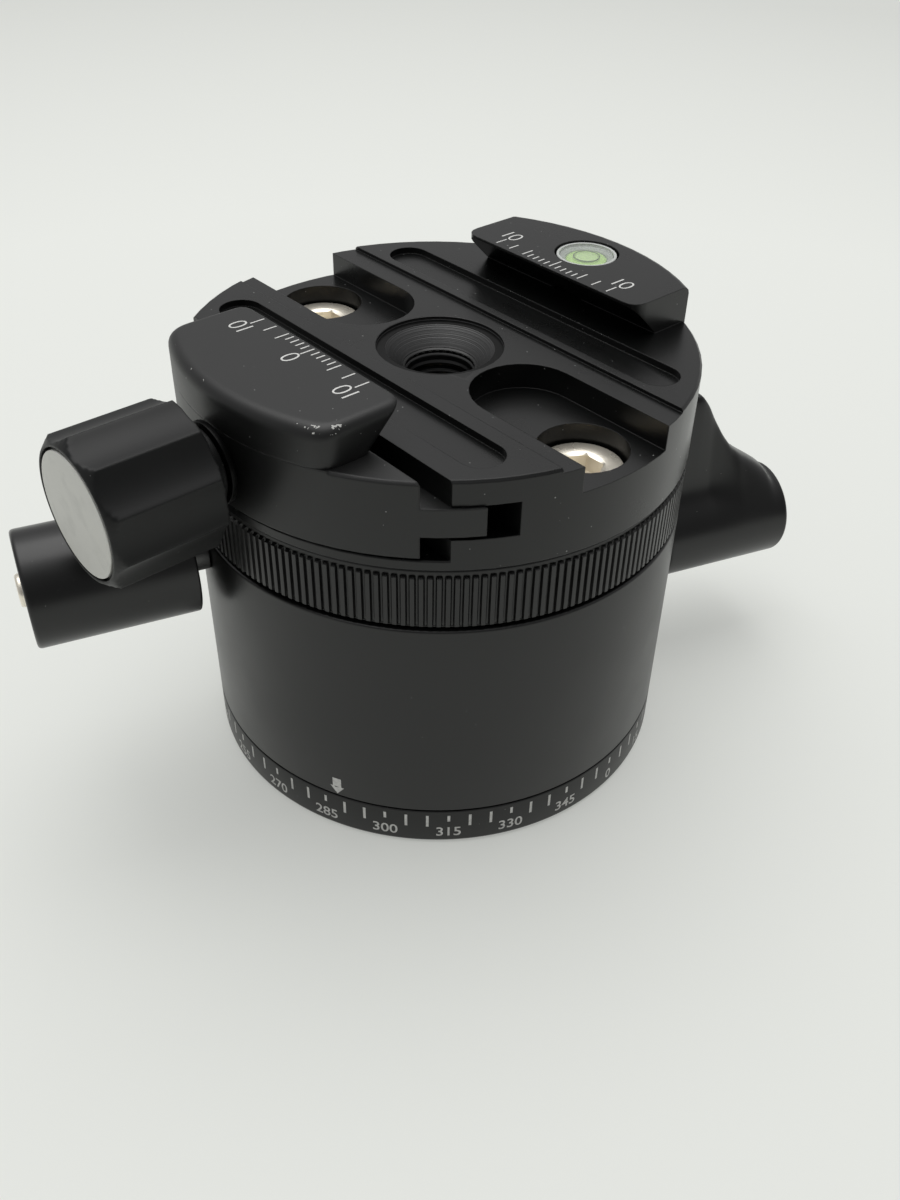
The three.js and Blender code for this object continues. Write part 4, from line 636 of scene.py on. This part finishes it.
# The moving jaw's scale, with a 0 in the middle.
moving_by_place = {0: -1.95, 5: -1.95, 7.5: -1.8, 10: -1.95}
moving_lengths = [moving_by_place.get(abs(v), -1.2) for v in fine]
moving_scale = [scale_lines(-18.68, moving_lengths), jaw_figure("10", -21.95, -9.95, number_h, inwards),
                jaw_figure("0", -21.92, 0.1, number_h, inwards),
                jaw_figure("10", -21.9, 10.25, number_h, inwards)]
marks("moving_jaw_scale", moving_scale, on_jaw, white, "jaw", "white_plastic")

# A knob turned and milled from bar, with ten wide shallow flutes and its front dished for a pale aluminium
# disc. It turns on the clamp spindle, which runs along -X from the jaw.
spindle_z = 52.1


def beside(points, turn, z):
    """Stands a piece made round Z out along a level radius, so that its Z runs outwards at height z."""
    x, y, out = points[..., 0], points[..., 1], points[..., 2]
    c, s = math.cos(turn), math.sin(turn)
    return np.stack([c * out - s * x, s * out + c * x, z + y], -1)


knob_black = anodised("knob_black", (0.0034, 0.0036, 0.0036), 0.30, grain_size=0.10, grain_depth=0.006,
                      edge=0, dust=0.5)
fluted_black = anodised("fluted_black", (0.0050, 0.0054, 0.0054), 0.42, grain_size=0.10, grain_depth=0.006,
                        edge=0.3, dust=0.5, gloss=0.30)
flutes, flute_r, flute_pitch, knob_r = 10, 8.05, 15.97, 8.85
knob_columns = 480
a = np.arange(knob_columns) * 2 * np.pi / knob_columns
first_flute = math.radians(38.9)
from_flute = (a - first_flute + np.pi / flutes) % (2 * np.pi / flutes) - np.pi / flutes
reach = flute_r**2 - (flute_pitch * np.sin(from_flute)) ** 2
fluted = np.where(reach > 0, flute_pitch * np.cos(from_flute) - np.sqrt(np.maximum(reach, 0)), 99)
blend_r = 0.12
fluted = -blend_r * np.logaddexp(-fluted / blend_r, -knob_r / blend_r)
back = np.linspace(0, 1, 5)[1:, None]
knob_profile = np.concatenate([
    softened([(3.0, 34.05, 0), (4.6, 34.05, 0.2), (4.6, 36.3, 0.1), (8.2, 36.3, 0.05)], closed=False),
    np.concatenate([8.2 + 0.9 * back, 36.3 + 0.55 * back], 1),
    [(9.5, 37.4), (9.5, 42.0), (9.5, 48.2)],
    np.concatenate([9.1 - 1.32 * back, 48.27 + 1.28 * back], 1),
    softened([(7.7, 49.6, 0), (7.46, 49.6, 0.06), (7.46, 48.7, 0.05), (0.001, 48.7, 0)], closed=False)])
r = np.minimum(knob_profile[:, :1] * np.ones(knob_columns), np.where(knob_profile[:, :1] > 7.8, fluted, 99))
knob = np.stack([r * np.cos(a), r * np.sin(a), knob_profile[:, 1:] + 0 * r], -1)
surface("clamp_knob_fluted", beside(knob, math.pi, spindle_z), fluted_black, "clamp_knob",
        False, True, 28, ["clamp_knob"])


def bare_metal(name, tone, roughness, metallic=1.0, mark=0.02):
    """Bare metal with fine scattered marks in its bump and cloudy, slightly stained colour and roughness."""
    finish = bpy.data.materials.new(name)
    finish.use_nodes = True
    tree = finish.node_tree
    shader = tree.nodes["Principled BSDF"]
    shader.inputs["Metallic"].default_value = metallic
    place = tree.nodes.new("ShaderNodeTexCoord")
    stain = tree.nodes.new("ShaderNodeTexNoise")
    stain.inputs["Scale"].default_value = 320
    stain.inputs["Detail"].default_value = 6
    shade = tree.nodes.new("ShaderNodeValToRGB")
    shade.color_ramp.elements[0].position = 0.28
    shade.color_ramp.elements[0].color = tuple(0.86 * c for c in tone) + (1,)
    shade.color_ramp.elements[1].position = 0.5
    shade.color_ramp.elements[1].color = (*tone, 1)
    drift = tree.nodes.new("ShaderNodeMapRange")
    drift.inputs["To Min"].default_value = roughness * 0.8
    drift.inputs["To Max"].default_value = roughness * 1.25
    scratch = tree.nodes.new("ShaderNodeTexNoise")
    scratch.inputs["Scale"].default_value = 4000
    bump = tree.nodes.new("ShaderNodeBump")
    bump.inputs["Strength"].default_value = 0.4
    bump.inputs["Distance"].default_value = mark / 1000
    tree.links.new(place.outputs["Object"], stain.inputs["Vector"])
    tree.links.new(place.outputs["Object"], scratch.inputs["Vector"])
    tree.links.new(stain.outputs["Fac"], shade.inputs["Fac"])
    tree.links.new(stain.outputs["Fac"], drift.inputs["Value"])
    tree.links.new(shade.outputs["Color"], shader.inputs["Base Color"])
    tree.links.new(drift.outputs["Result"], shader.inputs["Roughness"])
    tree.links.new(scratch.outputs["Fac"], bump.inputs["Height"])
    tree.links.new(bump.outputs["Normal"], shader.inputs["Normal"])
    return finish


# The disc in the knob's front is turned from pale aluminium. It is bare and satin, with a rounded rim.
pale = bare_metal("pale_disc", (0.60, 0.60, 0.57), 0.5, metallic=0.35, mark=0.01)
disc = softened([(0.001, 49.0, 0), (7.12, 49.0, 0.1), (7.12, 49.66, 0.12), (0.001, 49.66, 0)],
                closed=False)
surface("knob_disc_turned", beside(turned(disc, 128), math.pi, spindle_z), pale, "clamp_knob",
        False, True, 35, ["knob_disc"])
# The thrust washer behind the knob is black, a flat ring with rounded edges. It takes the near-black,
# glossless painted-shade finish, so the gap behind the knob reads as shadow. The spindle is dark steel.
steel = bare_metal("bright_steel", (0.78, 0.77, 0.74), 0.26)
nickel = bare_metal("satin_nickel", (0.97, 0.91, 0.79), 0.28, metallic=0.7, mark=0.03)
dark_steel = bare_metal("dark_steel", (0.10, 0.10, 0.10), 0.35)
brass = bare_metal("brass", (0.62, 0.45, 0.20), 0.3)
washer = softened([(3.2, 33.05, 0.05), (4.9, 33.05, 0.1), (4.9, 33.75, 0.1), (3.2, 33.75, 0.05)])
surface("thrust_washer_turned", beside(turned(washer, 96), math.pi, spindle_z), painted_shade_black, "clamp_knob",
        True, True, 35, ["thrust_washer"])
painted(["clamp_spindle"], dark_steel)

# The sprung plunger that drops into the click drum: a smooth turned knob, with a bright button screw in its
# end. It stands out from the housing at the left.
plunger_turn, plunger_z = math.radians(162.3), 33.45
plunger = softened([(4.9, 34.35, 0.1), (7.42, 34.35, 0.35), (7.42, 54.4, 0.6), (2.4, 54.4, 0.12),
                    (2.4, 53.6, 0.05), (1.6, 53.6, 0.05), (1.6, 49.9, 0.1), (4.9, 49.9, 0.1)], steps=6)
surface("plunger_knob_turned", beside(turned(plunger, 192), plunger_turn, plunger_z), knob_black, "plunger",
        True, True, 35, ["plunger_knob"])


def hex_radius(angle, flats):
    """The radius of a hexagon's wall at an angle: half its width across flats over the cosine of the angle
    from the nearest flat's middle."""
    return flats / 2 / np.cos((angle + np.pi / 6) % (np.pi / 3) - np.pi / 6)


def socket_screw(radius, low, high, crown, flats, depth, turns=96):
    """A screw head round Z with a hexagon socket. Its rows hold a radius, a height and how far they are a
    hexagon. They run from the axis below, over the crown, into the socket and to the axis again."""
    a = np.arange(turns) * 2 * np.pi / turns
    corner_r = flats / 2 / math.cos(math.pi / 6)
    rows = np.array([
        (0.001, low, 0), (radius - 0.1, low, 0), (radius, low + 0.1, 0), (radius, high - crown, 0),
        (radius - 0.12 * crown, high - 0.55 * crown, 0), (radius - 0.45 * crown, high - 0.15 * crown, 0),
        (radius - crown, high, 0), (corner_r + 0.22, high, 0), (corner_r + 0.1, high - 0.04, 0),
        (corner_r - 0.02, high - 0.25, 1), (corner_r, high - 0.4, 1), (corner_r, high - depth, 1),
        (0.45, high - depth - 0.25, 0), (0.001, high - depth - 0.4, 0)])
    r = rows[:, :1] * (1 - rows[:, 2:]) + rows[:, 2:] * np.minimum(rows[:, :1], hex_radius(a, flats))
    return np.stack([r * np.cos(a), r * np.sin(a), rows[:, 1:2] + 0 * r], -1)


# The plunger's button screw is nickel-plated and has a hexagon socket. Its sleeve is dark turned steel.
button = socket_screw(2.1, 53.9, 55.05, 0.35, 1.7, 0.45)
surface("plunger_screw_button", beside(button, plunger_turn, plunger_z), nickel, "plunger", False,
        True, 30, ["plunger_screw"])
sleeve = softened([(2.0, 32.06, 0.1), (2.5, 32.06, 0.1), (2.5, 34.9, 0.1), (4.6, 35.2, 0.2), (4.6, 43.7, 0.2),
                   (3.3, 43.7, 0.2), (3.3, 36.2, 0.2), (2.0, 36.0, 0.2)])
surface("plunger_sleeve_turned", beside(turned(sleeve, 96), plunger_turn, plunger_z), dark_steel, "rotor",
        True, True, 35, ["plunger_sleeve"])
painted(["plunger_cap"], dark_steel)

# The pan lock: a round hub with one arm that stands up from it, thin by the housing and broad where it is
# low, so that the outline falls in two straight slopes to the hub's end. Across the hub the arm's height is
# a bell, 1 / (1 + (x / half width)^5), so it joins the hub in hollow fillets.
lever_turn, lever_z = math.radians(-18.6), 18.85
hub_r, lever_reach = 7.1, 22.5
lever_start, lever_length, end_share, lever_end_round = 34.4, 20.7, 0.974, 0.5
share = [0, 0.012, 0.03, 0.15, 0.28, 0.348, 0.406, 0.493, 0.57, 0.676, 0.802, 0.879, 0.928, 0.971, 0.99, 1]
arm = [0.965, 0.985, 1, 1, 1, 0.92, 0.818, 0.689, 0.6, 0.524, 0.444, 0.391, 0.330, 0.31, 0.30, 0.30]
along = np.concatenate([np.linspace(0, 0.03, 6), np.linspace(0.05, 0.96, 74), 1 - 0.026 * np.cos(np.radians(
    np.linspace(0, 90, 9)))])
soft = np.linspace(-0.02, 0.02, 9)
arm_reach = (np.interp(along[:, None] + soft, share, arm).mean(1) * lever_reach)[:, None]
arm_half = np.interp(along[:, None] + soft, [0.40, 0.62, 1], [1.9, 3.6, 4.4]).mean(1)[:, None]
past = np.clip((along - end_share) / (1 - end_share), 0, 1)
before = np.clip(1 - along / 0.03, 0, 1)
hub = (hub_r - lever_end_round * (1 - np.sqrt(1 - past**2)) - 0.5 * (1 - np.sqrt(1 - before**2)))[:, None]
turn = np.radians(np.concatenate([np.linspace(180, 360, 49)[:-1], np.linspace(0, 180, 169)[:-1]]))
across = hub * np.cos(turn)
fin = 1 / (1 + np.abs(across / arm_half) ** 5) - 1 / (1 + (hub_r / arm_half) ** 5)
fin = np.where(np.sin(turn) > 0, np.maximum(fin, 0), 0)
upright = hub * np.sin(turn) + np.maximum(arm_reach - hub, 0) * fin
lever = np.stack([across, upright, lever_start + lever_length * along[:, None] + 0 * across], -1)
to_axis = np.array([0.001, 0.001, 1])
cap_edge = np.array([0.97, 0.97, 1])
caps = [lever[:1] * to_axis, lever[:1] * cap_edge, lever, lever[-1:] * cap_edge, lever[-1:] * to_axis]
surface("lock_lever_blended", beside(np.concatenate(caps), lever_turn, lever_z), knob_black, "lever",
        False, True, 35, ["lock_lever"])
painted(["lever_screw", "lock_screw", "lock_bush"], dark_steel)

# Two nickel-plated steel socket screws hold the clamp down in their counterbores.
screw = socket_screw(5.0, 46.9, 50.5, 0.22, 4.68, 2.2)
shank_profile = [(0.001, 30.0, 0), (3.0, 30.0, 0.3), (3.0, 46.95, 0), (0.001, 46.95, 0)]
shank = turned(softened(shank_profile, closed=False), 48)
for name, y in (("clamp_screw_near", -24.8), ("clamp_screw_far", 24.8)):
    surface(name + "_head", screw + (0, y, 0), nickel, "rotor", False, True, 30, [name])
    surface(name + "_shank", shank + (0, y, 0), steel, "rotor", False, True, 30)

# A round level pressed into the fixed jaw, moulded in plastic: a pale cup, a grey seat, green fluid, a dark
# circle, a paler bubble and a thin clear lens over them all.
vial = np.array([25.5, 0.0, 0.0])


def plastic(name, tone, roughness):
    """Moulded plastic with a faint cloudiness."""
    finish = bpy.data.materials.new(name)
    finish.use_nodes = True
    tree = finish.node_tree
    shader = tree.nodes["Principled BSDF"]
    shader.inputs["Roughness"].default_value = roughness
    shader.inputs["IOR"].default_value = 1.45
    place = tree.nodes.new("ShaderNodeTexCoord")
    cloud = tree.nodes.new("ShaderNodeTexNoise")
    cloud.inputs["Scale"].default_value = 900
    shade = tree.nodes.new("ShaderNodeValToRGB")
    shade.color_ramp.elements[0].color = tuple(0.9 * c for c in tone) + (1,)
    shade.color_ramp.elements[1].color = (*tone, 1)
    tree.links.new(place.outputs["Object"], cloud.inputs["Vector"])
    tree.links.new(cloud.outputs["Fac"], shade.inputs["Fac"])
    tree.links.new(shade.outputs["Color"], shader.inputs["Base Color"])
    return finish


rim_plastic = plastic("vial_rim", (0.60, 0.62, 0.60), 0.30)
seat_grey = plastic("vial_seat", (0.36, 0.40, 0.36), 0.35)
fluid_green = plastic("vial_green", (0.50, 0.78, 0.22), 0.15)
clear = plastic("vial_clear", (0.80, 0.82, 0.80), 0.04)
clear.node_tree.nodes["Principled BSDF"].inputs["Alpha"].default_value = 0.14
bubble_pale = plastic("vial_bubble", (0.55, 0.76, 0.34), 0.15)
ink = plastic("vial_ink", (0.02, 0.04, 0.015), 0.5)
cup = softened([(0.001, 58.1, 0), (4.0, 58.1, 0.2), (4.0, 61.05, 0.14), (3.62, 61.05, 0.12), (3.5, 58.6, 0.1),
                (0.001, 58.6, 0)], closed=False)
surface("vial_cup_moulded", turned(cup, 96) + vial, rim_plastic, "rotor", False, True, 35,
        ["vial_cup"])
seat = softened([(2.72, 58.65, 0.1), (3.48, 58.65, 0.1), (3.55, 60.72, 0.1), (3.2, 60.66, 0.3),
                 (2.72, 60.45, 0.2)])
surface("vial_seat_moulded", turned(seat, 96) + vial, seat_grey, "rotor", True, True, 35)
fluid = softened([(0.001, 58.65, 0), (2.71, 58.65, 0.2), (2.71, 60.45, 0.25), (0.001, 60.55, 0)],
                 closed=False)
surface("vial_fluid_body", turned(fluid, 96) + vial, fluid_green, "rotor", False, True, 35,
        ["vial_fluid"])
lens_cap = softened([(0.001, 60.8, 0), (3.54, 60.8, 0.05), (3.58, 60.92, 0.1), (0.001, 61.02, 0)],
                    closed=False)
surface("vial_lens_clear", turned(lens_cap, 96) + vial, clear, "rotor", False, True, 35,
        ["vial_lens"])
circle = softened([(1.66, 60.70, 0.02), (1.78, 60.70, 0.02), (1.78, 60.76, 0.02), (1.66, 60.76, 0.02)],
                  steps=3)
surface("vial_circle", turned(circle, 96) + vial, ink, "rotor", True, True)
bubble = softened([(0.001, 60.5, 0), (1.42, 60.5, 0.2), (1.5, 60.62, 0.1), (0.001, 60.68, 0)], closed=False)
surface("vial_bubble_air", turned(bubble, 64) + vial, bubble_pale, "rotor", False, True)

# What the shells hide: brass for the bushes, the bearing's cage and the click drum, steel for the rest.
for name, node in nodes.items():
    if node.hide_render or node.data.materials and node.data.materials[0] in (
            satin, wall, knob_black, dark_steel):
        continue
    painted([name], brass if name in ("tripod_bush", "reducer_bush", "bearing_cage", "index_drum") else steel)
